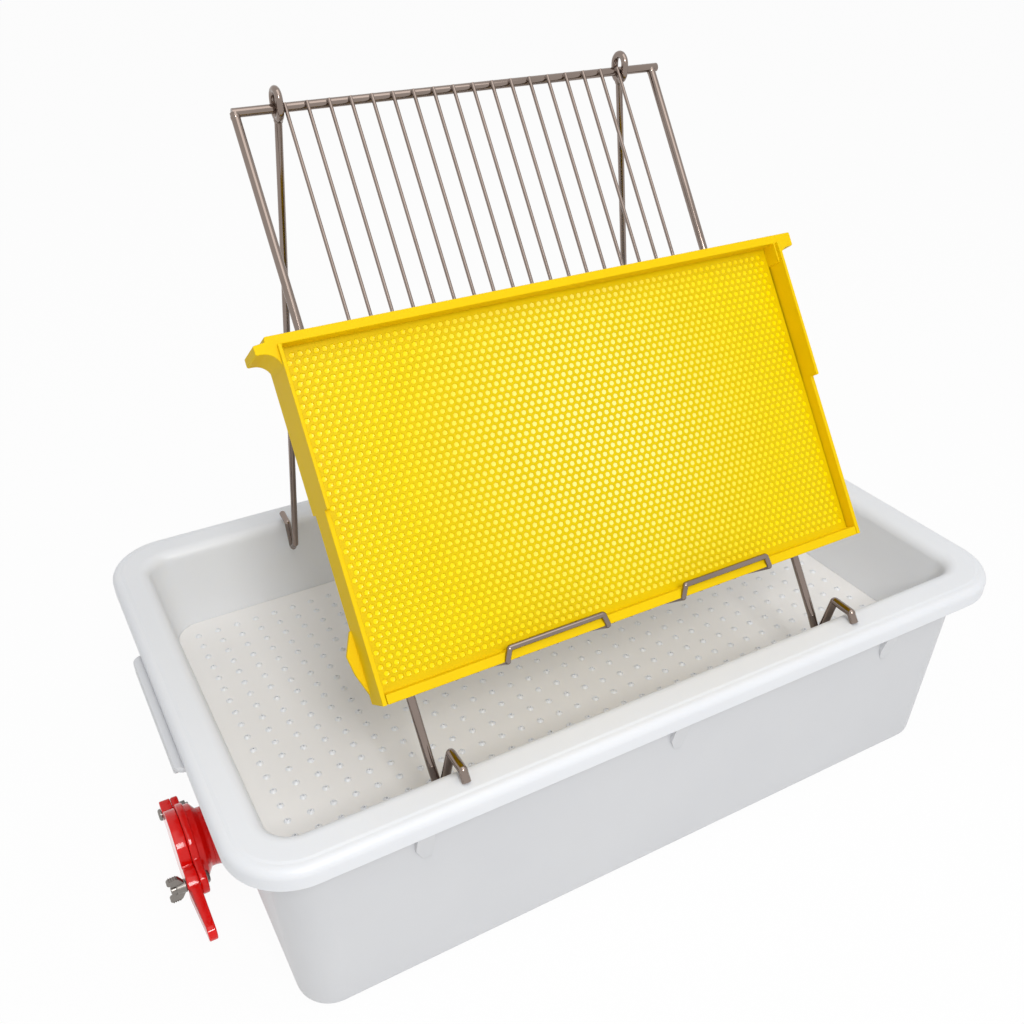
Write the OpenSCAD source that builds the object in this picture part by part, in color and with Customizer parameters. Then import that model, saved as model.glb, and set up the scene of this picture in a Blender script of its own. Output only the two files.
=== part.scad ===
// Uncapping tank: a honey tank with a slide gate, a strainer tray hung in its mouth,
// a folding wire stand hooked over the tray's rim, and a hive frame resting on the stand.
// X runs along the tank, Y from front to back, Z up. The origin is the centre of the base.

/* [Tank] */
// Length of the tank's base
tank_l = 546; // [530:1:556]
// Width of the tank's base
tank_w = 334; // [316:1:344]
// Height of the tank's flange above the table
tank_h = 160; // [150:1:230]
// Radius of the tank's upright corners at the base
tank_corner_r = 24; // [22:1:30]
// Wall thickness of the tank
tank_wall = 3.5; // [2.5:0.1:5]
// Thickness of the tank's floor
tank_floor = 4; // [3:0.1:6]
// Radius round the tank's bottom edge
tank_foot_r = 8; // [5:0.5:12]
// Outward slope of the walls, in degrees
draft = 3.4; // [2.5:0.1:4]
// Thickness of the tank's flange
flange_t = 4; // [3:0.5:6]
// Places of the ribs along the front and back walls
rib_x = [-188, 12, 212];
// Thickness of a rib
rib_t = 3; // [2:0.5:5]
// Height of a rib below the flange
rib_h = 38; // [25:1:60]
// Width of an end handle
handle_w = 128; // [90:1:160]
// Reach of an end handle past the tray's rim
handle_out = 6; // [1:0.5:6]
// Thickness of a handle's shelf and lip
handle_t = 4; // [3:0.5:6]
// Height of a handle's lip
handle_lip = 10; // [10:1:24]

/* [Tray] */
// Length of the tray inside, at the strainer floor
tray_l = 532.4; // [522:0.2:536]
// Width of the tray inside, at the strainer floor
tray_w = 305.4; // [298:0.2:310]
// Radius of the tray's corners at the strainer floor
tray_corner_r = 20.2; // [18:0.2:22]
// Outward slope of the tray's walls, in degrees
tray_draft = 2.2; // [1:0.1:3]
// Thickness of the tray's wall
tray_wall = 3; // [2:0.1:4]
// Thickness of the tray's rim
tray_rim_t = 5; // [4:0.5:7]
// Length of the rim over its skirt
rim_l = 606.8; // [604:0.2:616]
// Width of the rim over its skirt
rim_w = 379.8; // [378:0.2:390]
// Radius of the rim's outer corners
rim_corner_r = 44; // [40:0.5:48]
// Height of the rim's outer skirt
skirt_h = 15; // [12:0.5:20]
// Thickness of the skirt
skirt_t = 3; // [2:0.1:4]
// Radius of the rim's outer edge
rim_edge_r = 7; // [5:0.5:7]
// Radius of the rim's inner shoulder
shoulder_r = 9.5; // [8:0.5:10]
// Depth of the strainer floor below the rim
strainer_depth = 68; // [60:1:80]
// Thickness of the strainer floor
strainer_t = 3; // [2:0.5:5]
// Width of the ledge that carries the strainer floor
ledge_w = 7; // [5:0.5:9]
// Diameter of a drain hole
drain_d = 4.4; // [3:0.1:6]
// Spacing of the drain holes along the tank
drain_pitch_x = 16.15; // [14:0.05:20]
// Spacing of the drain holes across the tank
drain_pitch_y = 14.85; // [13:0.05:20]
// Distance from the strainer's edge to the first holes
drain_margin = 15; // [12:0.5:24]

/* [Gate] */
// Height of the gate's centre above the table
gate_z = 34; // [34:1:60]
// Distance of the gate's centre behind the tank's middle
gate_y = -16; // [-40:1:40]
// Bore of the gate
gate_bore_d = 30; // [22:0.5:31]
// Diameter of the gate's threaded tail
tail_d = 38; // [36:0.5:42]
// Length of tail inside the tank's wall
tail_in = 14; // [12:1:24]
// Diameter of the pad on the wall that the gate seals on
pad_d = 62; // [58:1:66]
// Diameter of the clamping collar
collar_d = 52; // [50:1:56]
// Thickness of the clamping collar
collar_t = 14; // [14:0.5:22]
// Thickness of the rubber gasket
gasket_t = 3; // [2:0.5:5]
// Length of the neck between the collar and the disc
neck_l = 6; // [4:0.5:10]
// Diameter of the neck
neck_d = 45; // [44:0.5:48]
// Thickness of the disc behind the face plate
disc_t = 4.5; // [3:0.5:6]
// Thickness of the face plate and its ears
plate_t = 5.5; // [4:0.5:8]
// Radius of the face plate
plate_r = 29; // [27:0.5:30]
// Distance of each bolt from the bore's centre
bolt_off = 36; // [35:0.5:40]
// Radius of the ears round the bolts
ear_r = 8; // [7:0.5:9]
// Thickness of the sliding blade
blade_t = 8; // [5:0.5:9]
// Radius of the blade's disc
blade_r = 27; // [25:0.5:28]
// Distance from the bore's centre to the handle's end
lever_l = 87; // [70:1:100]
// Width of the lever
lever_w = 15; // [12:0.5:18]
// Diameter of the pivot and clamp bolts
bolt_d = 5; // [4:0.5:6]
// Diameter of the bolt heads
bolt_head_d = 9.6; // [9:0.2:11]
// Height of the bolt heads
bolt_head_h = 3.4; // [2.5:0.1:4]
// Span of the wing nut
wing_span = 27; // [20:1:30]

/* [Stand] */
// Middle of the stand along the tank
stand_x = -15; // [-60:0.5:60]
// Distance between the two side rods
stand_w = 313; // [290:1:330]
// Distance of the top rod behind the tank's middle
top_y = 94; // [84:0.5:98]
// Height of the top rod above the table
top_z = 502.5; // [494:0.5:514]
// Lean of the panel from upright, in degrees
tilt = 35.2; // [34.4:0.1:36]
// Diameter of the top rod and side rods
rod_d = 6; // [5:0.5:6.5]
// Diameter of the lower cross rod
cross_d = 5; // [4:0.5:6]
// Number of thin wires in the panel
wire_n = 18; // [10:1:18]
// Diameter of a thin wire
wire_d = 2.5; // [2:0.1:3]
// Spacing of the thin wires
wire_pitch = 14.7; // [12:0.1:14.7]
// Diameter of the wire of the rests
rest_d = 4; // [3:0.5:5]
// Width of a rest
rest_w = 77; // [60:1:90]
// Middle of the two rests along the tank
rest_x = -12; // [-15:0.5:-12]
// Distance of each rest from that middle
rest_off = 66.4; // [66:0.1:67.4]
// Height of a rest's front lip above the frame's lower edge
rest_lip = 10; // [5:0.5:16]
// Diameter of the legs' wire
leg_d = 5; // [4:0.5:5.5]
// Distance of each leg's eye from the stand's middle
leg_off = 129.2; // [129:0.1:135]
// How far the left leg's foot stands outside its eye
left_spread = 14.5; // [0:0.5:20]
// How far the right leg's foot stands outside its eye
right_spread = 66; // [0:0.5:70]
// Length of the slot in a leg's eye
eye_slot = 5; // [3:0.5:18]

/* [Hive frame] */
// Middle of the frame along the tank
frame_x = -10.5; // [-20:0.5:0]
// Distance of the frame's lower edge down the panel from the top rod
frame_drop = 370.5; // [350:0.5:375]
// Width of the frame over its end bars
frame_w = 373.5; // [340:0.5:390]
// Height of the frame
frame_h = 223; // [200:1:240]
// Length of the frame over its lugs
lug_l = 400.5; // [398:0.5:420]
// Thickness of the lugs
lug_t = 10; // [6:0.5:12]
// Radius of the hollow under each lug
lug_hollow_r = 10; // [6:0.5:12]
// Thickness of the end bars
bar_t = 4; // [3.5:0.5:6]
// Thickness of the top bar and bottom bar
rail_t = 6; // [5:0.5:9]
// Depth of the top bar and lugs
top_depth = 30; // [26:0.5:32]
// Depth of the end bars above the step
upper_depth = 36; // [33:0.5:38]
// Depth of the end bars and bottom bar below the step
lower_depth = 24; // [22:0.5:26]
// Height of the step in the end bars
bar_step = 118; // [90:1:140]
// Thickness of the comb foundation
comb_t = 7; // [5:0.5:9]
// Thickness of the foundation's edge
tongue_t = 2.4; // [2:0.2:3]
// Spacing of the foundation's coarse cells
cell_pitch = 24; // [20:0.5:30]
// Width of a coarse cell across its flats
cell_w = 21; // [16:0.5:22]
// Depth of a coarse cell
cell_depth = 1.3; // [0.8:0.1:1.6]

/* [Fits] */
// Gap between the tray's skirt and the tank's flange
nest_gap = 1.5; // [0.8:0.1:2.5]
// Gap where a moving piece comes to rest
seat_gap = 0.3; // [0.2:0.05:0.5]
// Radial clearance of a turning fit
run_gap = 0.05; // [0.02:0.01:0.1]
// Clearance of a fixed fit
fit_gap = 0.2; // [0.1:0.05:0.4]
// Depth that welded wires sink into each other
weld = 0.3; // [0.1:0.05:0.5]

/* [Hidden] */
$fn = 48;
round_steps = 5;
eps = 0.01;
// How far a slanted wire's knee stands proud of it
swell = 0.3;

// Colours
polyethylene = [0.93, 0.93, 0.94];
gate_red = [0.85, 0.07, 0.05];
rubber_black = [0.12, 0.12, 0.12];
zinc = [0.62, 0.63, 0.64];
steel = [0.75, 0.73, 0.71];
frame_yellow = [1.0, 0.86, 0.0];

// Corner centres of the tank's wall, the tray's wall and the rim; radii run outward from them
tank_c = [tank_l / 2 - tank_corner_r, tank_w / 2 - tank_corner_r];
tray_c = [tray_l / 2 - tray_corner_r, tray_w / 2 - tray_corner_r];
rim_c = [rim_l / 2 - rim_corner_r, rim_w / 2 - rim_corner_r];
rim_z = tank_h + tray_rim_t;
skirt_z = rim_z - skirt_h;
strainer_z = rim_z - strainer_depth;
ledge_z = strainer_z - strainer_t;
shoulder_z = rim_z - shoulder_r;
function tank_out(z) = tank_corner_r + tan(draft) * z;
function tank_in(z) = tank_out(z) - tank_wall;
function tray_in(z) = tray_corner_r + tan(tray_draft) * (z - ledge_z);
function tray_out(z) = tray_in(z) + tray_wall;
flange_r = rim_corner_r - skirt_t - nest_gap;
// The rim is a flat ring between the tray's shoulder and its own rounded edge
shoulder_end = tray_in(rim_z) + shoulder_r;
edge_start = rim_corner_r - skirt_t - 2 * rim_edge_r;
strainer_edge = tray_corner_r - fit_gap;
handle_z = skirt_z - 1;
handle_x = rim_l / 2 + handle_out;

// Gate, measured outward along its axis from the pad's face
pad_proud = 0.4;
pad_face = tank_c[0] + tank_out(gate_z + pad_d / 2) + pad_proud;
pad_back = tank_c[0] + tank_in(gate_z - pad_d / 2) - pad_proud;
pad_t = pad_face - pad_back;
collar_at = gasket_t;
neck_at = collar_at + collar_t;
disc_at = neck_at + neck_l;
plate_at = disc_at + disc_t;
blade_at = plate_at + plate_t + fit_gap;
blade_end = blade_at + blade_t;
bolt_r = bolt_d / 2;
nut_t = 4;
nut_af = 8;
lock_nut_t = 9;
lock_nut_af = 52;
seal_r = gate_bore_d / 2 + 4;
seal_w = 3;
seal_h = 2;
wing_hub_d = 9.5;
wing_hub_h = 7;
wing_t = 2.4;
wing_h = 9;
wing_lift = 2.5;

// Stand, in the panel's own plane: x along the tank, y up the panel, z out of its front
rod_r = rod_d / 2;
left_x = stand_x - stand_w / 2;
right_x = stand_x + stand_w / 2;
wire_z = rod_r + wire_d / 2 - weld;
comb_back = wire_z + wire_d / 2 + seat_gap;
comb_mid = comb_back + top_depth / 2;
comb_bottom = -frame_drop;
rest_y = comb_bottom - seat_gap - rest_d / 2;
rest_front = comb_mid + lower_depth / 2 + seat_gap + rest_d / 2;
rest_bend = 3.2;
cross_r = cross_d / 2;
cross_z = rod_r - cross_r;
wire_nub = 2;

// Feet of the stand, hooked over the tray's rim
foot_bend = 5;
foot_side = 11.5;
foot_gap = 0.8;
foot_low_z = rim_z - 29;
foot_y = snap(tray_c[1] + tray_in(foot_low_z - rod_r) - rod_r - foot_gap);
foot_top_z = snap(top_z - (top_y + foot_y) / tan(tilt));
hook_rise = 10.5;
hook_reach = 25;
leg_r = leg_d / 2;
leg_bend = 3.5;
leg_side = 8.5;
leg_low_z = rim_z - 18.5;
leg_gap = 1.8;
leg_foot_y = snap(tray_c[1] + tray_in(leg_low_z - leg_r) - leg_r - leg_gap);
leg_lift = 3.5;
leg_reach = 15;
bead = 0.4;
eye_r = rod_r + seat_gap + leg_r + bead;
leg_knee = 5;

// Corner of a bent wire: how sharply it turns there
function unit(v) = v / norm(v);
function heading(p, i) = unit(p[i + 1] - p[i]);
function turn(p, i) = acos(heading(p, i - 1) * heading(p, i));
function setback(p, i, bend) = bend * tan(turn(p, i) / 2);

// Nearest hundredth of a millimetre, so that the lengths of a bent wire meet exactly
function snap(v) = round(v * 100) / 100;

// Points round a corner at p, between a and b, with radius r
function corner_arc(a, p, b, r) =
  let (u = unit(a - p), v = unit(b - p), half = acos(u * v) / 2, c = p + unit(u + v) * r / sin(half))
  let (s = atan2((p + u * r / tan(half) - c)[1], (p + u * r / tan(half) - c)[0]))
  let (e = atan2((p + v * r / tan(half) - c)[1], (p + v * r / tan(half) - c)[0]))
  let (d = (e - s) > 180 ? e - s - 360 : (e - s) < -180 ? e - s + 360 : e - s)
  [for (i = [0:round_steps]) c + r * [cos(s + d * i / round_steps), sin(s + d * i / round_steps)]];

// Outline whose corners [x, y, radius] are rounded where the radius isn't zero
function rounded(pts) = [for (i = [0:len(pts) - 1])
  let (n = len(pts), q = pts[i], a = pts[(i + n - 1) % n], b = pts[(i + 1) % n])
  each (q[2] == 0 ? [[q[0], q[1]]]
    : corner_arc([a[0], a[1]], [q[0], q[1]], [b[0], b[1]], q[2]))];

// Straight round rod from a to b
module rod(a, b, r) {
  d = b - a;
  translate(a)
    rotate([0, acos(d[2] / norm(d)), atan2(d[1], d[0])])
      cylinder(h = norm(d), r = r);
}

// Round wire through the points, each corner bent to the given radius
module bent_wire(p, r, bend) {
  last = len(p) - 2;
  for (i = [0:last]) {
    from = i == 0 ? p[i] : p[i] + heading(p, i) * setback(p, i, bend);
    to = i == last ? p[i + 1] : p[i + 1] - heading(p, i) * setback(p, i + 1, bend);
    rod(from, to, r);
  }
  for (i = [1:last]) {
    along = heading(p, i - 1);
    in = unit(heading(p, i) - (heading(p, i) * along) * along);
    up = cross(-in, along);
    c = p[i] - along * setback(p, i, bend) + in * bend;
    multmatrix([
      [-in[0], along[0], up[0], c[0]],
      [-in[1], along[1], up[1], c[1]],
      [-in[2], along[2], up[2], c[2]],
      [0, 0, 0, 1]])
      rotate_extrude(angle = turn(p, i))
        translate([bend, 0])
          circle(r);
  }
}

// Sweeps a profile round a rounded rectangle: x is the distance out from the corner centres at c
module round_plan(c) {
  for (sx = [0, 1], sy = [0, 1]) {
    mirror([sx, 0, 0]) mirror([0, sy, 0])
      translate([c[0], c[1], 0])
        rotate_extrude(angle = 90)
          children();
  }
  for (s = [0, 1]) {
    mirror([s, 0, 0])
      translate([c[0], c[1], 0])
        rotate([90, 0, 0])
          linear_extrude(2 * c[1])
            children();
    mirror([0, s, 0])
      translate([-c[0], c[1], 0])
        rotate([90, 0, 90])
          linear_extrude(2 * c[0])
            children();
  }
}

// Rounded rectangle with corner centres at c
module plan(c, r) {
  square([2 * c[0], 2 * (c[1] + r)], center = true);
  square([2 * (c[0] + r), 2 * c[1]], center = true);
  for (sx = [-1, 1], sy = [-1, 1]) {
    translate([sx * c[0], sy * c[1]]) circle(r);
  }
}

// Things built on the gate's axis: z runs out of the tank's left end, x up, y to the back
module at_gate(out) {
  translate([-(pad_face + out), gate_y, gate_z])
    rotate([0, -90, 0])
      children();
}

// Things built in the stand's panel, from the middle of the top rod
module on_panel() {
  translate([0, top_y, top_z])
    rotate([90 - tilt, 0, 0])
      children();
}

module tank_profile() {
  polygon(rounded([
    [0, 0, 0],
    [tank_out(0), 0, tank_foot_r],
    [tank_out(tank_h), tank_h, 0],
    [tank_in(tank_h), tank_h, 0],
    [tank_in(tank_floor), tank_floor, tank_foot_r - tank_wall],
    [0, tank_floor, 0]]));
}

// Upright rib that stiffens the flange from below
module rib() {
  rotate([90, 0, 90])
    translate([0, 0, -rib_t / 2])
      linear_extrude(rib_t)
        polygon([
          [tank_c[1] + tank_in(tank_h - rib_h) + tank_wall / 2, tank_h - rib_h],
          [tank_c[1] + tank_in(tank_h) + tank_wall / 2, tank_h - flange_t / 2],
          [rim_c[1] + flange_r - 2, tank_h - flange_t / 2],
          [rim_c[1] + flange_r - 2, skirt_z]]);
}

// Shelf and lip to lift the tank by, under the rim at each end
module end_handle() {
  shelf_z = handle_z - handle_t;
  side_slope = 7;
  root_x = tank_c[0] + tank_out(shelf_z) - tank_wall / 2;
  translate([0, 0, shelf_z])
    linear_extrude(handle_t)
      polygon([
        [root_x, -handle_w / 2],
        [handle_x - side_slope, -handle_w / 2],
        [handle_x, -handle_w / 2 + side_slope],
        [handle_x, handle_w / 2 - side_slope],
        [handle_x - side_slope, handle_w / 2],
        [root_x, handle_w / 2]]);
  translate([handle_x - handle_t, -handle_w / 2 + side_slope, handle_z - handle_lip])
    cube([handle_t, handle_w - 2 * side_slope, handle_lip - handle_t / 2]);
}

module tank() {
  color(polyethylene)
    difference() {
      union() {
        round_plan(tank_c) tank_profile();
        translate([-tank_c[0], -tank_c[1], 0]) cube([2 * tank_c[0], 2 * tank_c[1], tank_floor]);
        translate([0, 0, tank_h - flange_t])
          linear_extrude(flange_t)
            difference() {
              plan(rim_c, flange_r);
              plan(tank_c, tank_in(tank_h) + tank_wall / 2);
            }
        for (x = rib_x, s = [0, 1]) {
          mirror([0, s, 0]) translate([x, 0, 0]) rib();
        }
        end_handle();
        mirror([1, 0, 0]) end_handle();
        at_gate(-pad_t) cylinder(h = pad_t, d = pad_d);
      }
      at_gate(-pad_t - 1) cylinder(h = pad_t + 2, d = tail_d + 2 * fit_gap);
    }
}

module ears(r, t) {
  for (s = [-1, 1]) {
    translate([0, s * bolt_off, 0]) cylinder(h = t, r = r);
  }
  translate([-r, -bolt_off, 0]) cube([2 * r, 2 * bolt_off, t]);
}

module gate_body() {
  color(gate_red)
    difference() {
      union() {
        at_gate(-pad_t - tail_in) cylinder(h = pad_t + tail_in + disc_at, d = tail_d);
        at_gate(neck_at) cylinder(h = neck_l, d = neck_d);
        at_gate(disc_at) cylinder(h = disc_t, r = blade_r);
        at_gate(plate_at) cylinder(h = plate_t, r = plate_r);
        at_gate(plate_at) ears(ear_r, plate_t);
      }
      at_gate(-pad_t - tail_in - 1) cylinder(h = pad_t + tail_in + blade_at + 1, d = gate_bore_d);
      for (s = [-1, 1]) {
        at_gate(plate_at - 1) translate([0, s * bolt_off, 0]) cylinder(h = plate_t + 2, r = bolt_r + run_gap);
      }
      at_gate(plate_at + plate_t - seal_h)
        difference() {
          cylinder(h = seal_h + 1, r = seal_r + seal_w);
          translate([0, 0, -1]) cylinder(h = seal_h + 3, r = seal_r);
        }
    }
}

// Flat ring on the gate's axis
module gate_ring(out, t, outer_d, inner_d) {
  at_gate(out)
    difference() {
      cylinder(h = t, d = outer_d);
      translate([0, 0, -1]) cylinder(h = t + 2, d = inner_d);
    }
}

module gate_collar() {
  color(gate_red) gate_ring(collar_at, collar_t, collar_d, tail_d + 2 * fit_gap);
}

module gate_gasket() {
  color(rubber_black) gate_ring(0, gasket_t, collar_d, tail_d + 2 * fit_gap);
}

module gate_lock_nut() {
  color(gate_red)
    at_gate(-pad_t - lock_nut_t)
      difference() {
        rotate(30) cylinder(h = lock_nut_t, d = lock_nut_af / cos(30), $fn = 6);
        translate([0, 0, -1]) cylinder(h = lock_nut_t + 2, d = tail_d + 2 * fit_gap);
      }
}

module gate_seal() {
  color(rubber_black)
    gate_ring(plate_at + plate_t - seal_h, seal_h, 2 * (seal_r + seal_w - run_gap), 2 * (seal_r + run_gap));
}

module pivot_bolt() {
  color(zinc) {
    at_gate(plate_at - nut_t - 2) translate([0, bolt_off, 0])
      cylinder(h = blade_end + fit_gap - plate_at + nut_t + 2 + eps, r = bolt_r);
    at_gate(blade_end + fit_gap) translate([0, bolt_off, 0]) cylinder(h = bolt_head_h, d = bolt_head_d);
  }
}

module pivot_nut() {
  color(zinc)
    at_gate(plate_at - nut_t) translate([0, bolt_off, 0])
      difference() {
        cylinder(h = nut_t, d = nut_af / cos(30), $fn = 6);
        translate([0, 0, -1]) cylinder(h = nut_t + 2, r = bolt_r + run_gap);
      }
}

module clamp_bolt() {
  color(zinc) {
    at_gate(plate_at - bolt_head_h) translate([0, -bolt_off, 0]) cylinder(h = bolt_head_h, d = bolt_head_d);
    at_gate(plate_at - eps) translate([0, -bolt_off, 0])
      cylinder(h = blade_end - plate_at + wing_hub_h + 4, r = bolt_r);
  }
}

// Blade that closes the bore, with its lever and the open slot that lets it swing up past the bolt
module gate_blade() {
  slot_gap = 0.6;
  slot_r = bolt_r + slot_gap;
  arc_r = 2 * bolt_off;
  boss_r = ear_r + 3;
  color(gate_red)
    difference() {
      union() {
        at_gate(blade_at) cylinder(h = blade_t, r = blade_r);
        at_gate(blade_at) translate([0, bolt_off, 0]) cylinder(h = blade_t, r = ear_r);
        at_gate(blade_at) translate([-ear_r, 0, 0]) cube([2 * ear_r, bolt_off, blade_t]);
        at_gate(blade_at) translate([0, -lever_l + lever_w / 2, 0]) cylinder(h = blade_t, d = lever_w);
        at_gate(blade_at) translate([-lever_w / 2, -lever_l + lever_w / 2, 0])
          cube([lever_w, lever_l - lever_w / 2, blade_t]);
        at_gate(blade_at) translate([0, -bolt_off, 0]) cylinder(h = blade_t, r = boss_r);
      }
      at_gate(blade_at - 1) translate([0, bolt_off, 0]) cylinder(h = blade_t + 2, r = bolt_r + run_gap);
      at_gate(blade_at - 1) translate([0, -bolt_off, 0]) cylinder(h = blade_t + 2, r = slot_r);
      at_gate(blade_at - 1) translate([0, bolt_off, 0])
        intersection() {
          difference() {
            cylinder(h = blade_t + 2, r = arc_r + slot_r);
            translate([0, 0, -1]) cylinder(h = blade_t + 4, r = arc_r - slot_r);
          }
          translate([-3 * ear_r, -1.5 * arc_r, -1]) cube([3 * ear_r, 1.5 * arc_r, blade_t + 4]);
        }
    }
}

module wing_nut() {
  wing_r = wing_span / 2;
  color(zinc)
    at_gate(blade_end + seat_gap) translate([0, -bolt_off, 0])
      difference() {
        union() {
          cylinder(h = wing_hub_h, d = wing_hub_d);
          for (a = [0, 180]) {
            rotate([90, 0, a])
              translate([0, 0, -wing_t / 2])
                linear_extrude(wing_t)
                  polygon(rounded([
                    [0, wing_lift - 1, 0],
                    [wing_hub_d / 2, wing_lift - 1, 0],
                    [wing_r, wing_lift + 3, 2],
                    [wing_r, wing_lift + 3 + wing_h, 3],
                    [wing_r - 6, wing_lift + 3 + wing_h, 2],
                    [wing_hub_d / 2 - 1, wing_hub_h - 0.5, 0],
                    [0, wing_hub_h - 0.5, 0]]));
          }
        }
        translate([0, 0, -1]) cylinder(h = wing_hub_h + wing_h + 6, r = bolt_r + run_gap);
      }
}

// Tray's ledge, wall and rounded shoulder
module tray_profile() {
  base_z = ledge_z - tray_wall;
  polygon(rounded([
    [strainer_edge - ledge_w, base_z, 0],
    [tray_out(base_z), base_z, 2],
    [tray_out(tank_h), tank_h, 0],
    [shoulder_end, tank_h, 0],
    [shoulder_end, rim_z, 0],
    [tray_in(shoulder_z), rim_z, shoulder_r],
    [tray_in(ledge_z), ledge_z, 0],
    [strainer_edge - ledge_w, ledge_z, 0]]));
}

// Rim's rounded edge and the skirt that hides the tank's flange
module skirt_profile() {
  polygon(rounded([
    [edge_start, tank_h, 0],
    [rim_corner_r - skirt_t, tank_h, 0.8 * nest_gap],
    [rim_corner_r - skirt_t, skirt_z, 0],
    [rim_corner_r, skirt_z, 1],
    [rim_corner_r, rim_z, rim_edge_r],
    [edge_start, rim_z, 0]]));
}

module tray() {
  color(polyethylene) {
    round_plan(tray_c) tray_profile();
    translate([0, 0, tank_h])
      linear_extrude(tray_rim_t)
        difference() {
          plan(rim_c, edge_start);
          plan(tray_c, shoulder_end);
        }
    round_plan(rim_c) skirt_profile();
  }
}

// Perforated plate that lies on the tray's ledge
module strainer_floor() {
  half_x = tray_c[0] + strainer_edge;
  half_y = tray_c[1] + strainer_edge;
  count_x = floor(2 * (half_x - drain_margin) / drain_pitch_x);
  count_y = floor(2 * (half_y - drain_margin) / drain_pitch_y);
  color(polyethylene)
    translate([0, 0, ledge_z])
      linear_extrude(strainer_t)
        difference() {
          plan(tray_c, strainer_edge);
          for (i = [0:count_x], j = [0:count_y]) {
            translate([(i - count_x / 2) * drain_pitch_x, (j - count_y / 2) * drain_pitch_y])
              circle(d = drain_d, $fn = 24);
          }
        }
}

module top_rod() {
  over = 5;
  color(steel) rod([left_x - over, top_y, top_z], [right_x + over, top_y, top_z], rod_r);
}

// Side rod: down the panel, along the tray's wall, sideways and up again, then over the rim
module side_rod(x) {
  weld_at = rod_r - weld;
  hook_x = x + foot_side;
  hook_z = rim_z + hook_rise;
  tip_y = foot_y + hook_reach;
  knee = [x, -foot_y, foot_top_z];
  color(steel) {
    rod([x, top_y - weld_at * sin(tilt), top_z - weld_at * cos(tilt)], knee, rod_r);
    translate(knee) sphere(rod_r + swell);
    bent_wire([
      knee,
      [x, -foot_y, foot_low_z],
      [hook_x, -foot_y, foot_low_z],
      [hook_x, -foot_y, hook_z],
      [hook_x, -tip_y, hook_z],
      [hook_x, -tip_y, rim_z + seat_gap]], rod_r, foot_bend);
  }
}

module left_side_rod() {
  side_rod(left_x);
}

module right_side_rod() {
  side_rod(right_x);
}

module lower_cross_rod() {
  color(steel)
    on_panel()
      rod([left_x + rod_r - weld, rest_y, cross_z], [right_x - rod_r + weld, rest_y, cross_z], cross_r);
}

module grid_wires() {
  color(steel)
    on_panel()
      for (i = [0:wire_n - 1]) {
        x = stand_x + (i - (wire_n - 1) / 2) * wire_pitch;
        rod([x, rest_y - wire_nub, wire_z], [x, wire_nub, wire_z], wire_d / 2);
      }
}

// Rest: two arms out from the cross rod under the hive frame, joined by a lip in front of it
module rest(x) {
  half = (rest_w - rest_d) / 2;
  back = cross_z + cross_r - weld;
  lip_y = comb_bottom + rest_lip;
  color(steel)
    on_panel()
      bent_wire([
        [x - half, rest_y, back],
        [x - half, rest_y, rest_front],
        [x - half, lip_y, rest_front],
        [x + half, lip_y, rest_front],
        [x + half, rest_y, rest_front],
        [x + half, rest_y, back]], rest_d / 2, rest_bend);
}

module left_rest() {
  rest(rest_x - rest_off);
}

module right_rest() {
  rest(rest_x + rest_off);
}

// Leg: a long eye round the top rod, a straight shaft, and a foot bent up and over the back rim
module leg(side, spread) {
  x = stand_x + side * leg_off;
  foot_x = x + side * spread;
  bend_y = leg_foot_y - leg_side;
  hook_z = rim_z + leg_lift + leg_r;
  shaft_top = [x, top_y, top_z - eye_r];
  knee = [foot_x, bend_y, leg_low_z + leg_bend + leg_knee];
  color(steel) {
    translate([x, top_y, top_z]) eye();
    translate(shaft_top) sphere(leg_r + bead);
    rod(shaft_top, knee, leg_r);
    translate(knee) sphere(leg_r + swell);
    bent_wire([
      knee,
      [foot_x, bend_y, leg_low_z],
      [foot_x, leg_foot_y, leg_low_z],
      [foot_x, leg_foot_y, hook_z],
      [foot_x, leg_foot_y + leg_reach, hook_z]], leg_r, leg_bend);
  }
}

// Closed long eye in the YZ plane, its lower end centred on the top rod
module eye() {
  for (s = [-1, 1]) {
    rod([0, s * eye_r, 0], [0, s * eye_r, eye_slot], leg_r);
  }
  rotate([0, 90, 0])
    rotate([0, 0, -90])
      rotate_extrude(angle = 180) translate([eye_r, 0]) circle(leg_r);
  translate([0, 0, eye_slot])
    rotate([0, -90, 0])
      rotate([0, 0, -90])
        rotate_extrude(angle = 180) translate([eye_r, 0]) circle(leg_r);
}

module left_leg() {
  leg(-1, left_spread);
}

module right_leg() {
  leg(1, right_spread);
}

// Block in the hive frame's own place: x from its middle, y from its lower edge, z from its middle plane
module frame_block(x, y, size) {
  translate([frame_x + x, comb_bottom + y, comb_mid - size[2] / 2]) cube(size);
}

// Lug of the top bar, with a hollow that runs down into the end bar
module lug() {
  out = (lug_l - frame_w) / 2;
  low = frame_h - lug_t;
  translate([frame_x + frame_w / 2, comb_bottom, comb_mid - top_depth / 2])
    linear_extrude(top_depth) {
      translate([-bar_t, low]) square([out + bar_t, lug_t]);
      difference() {
        translate([-bar_t, low - lug_hollow_r]) square([lug_hollow_r + bar_t, lug_hollow_r + lug_t / 2]);
        translate([lug_hollow_r, low - lug_hollow_r]) circle(lug_hollow_r);
      }
    }
}

// Wedge fin outside the left end bar, near its lower end
module spacer_fin() {
  fin_t = 3;
  translate([frame_x - frame_w / 2, comb_bottom, comb_mid - lower_depth / 2])
    linear_extrude(fin_t)
      polygon([[bar_t / 2, 46], [-1, 46], [-7, 32], [-5, 20], [0, 6], [bar_t / 2, 6]]);
}

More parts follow.
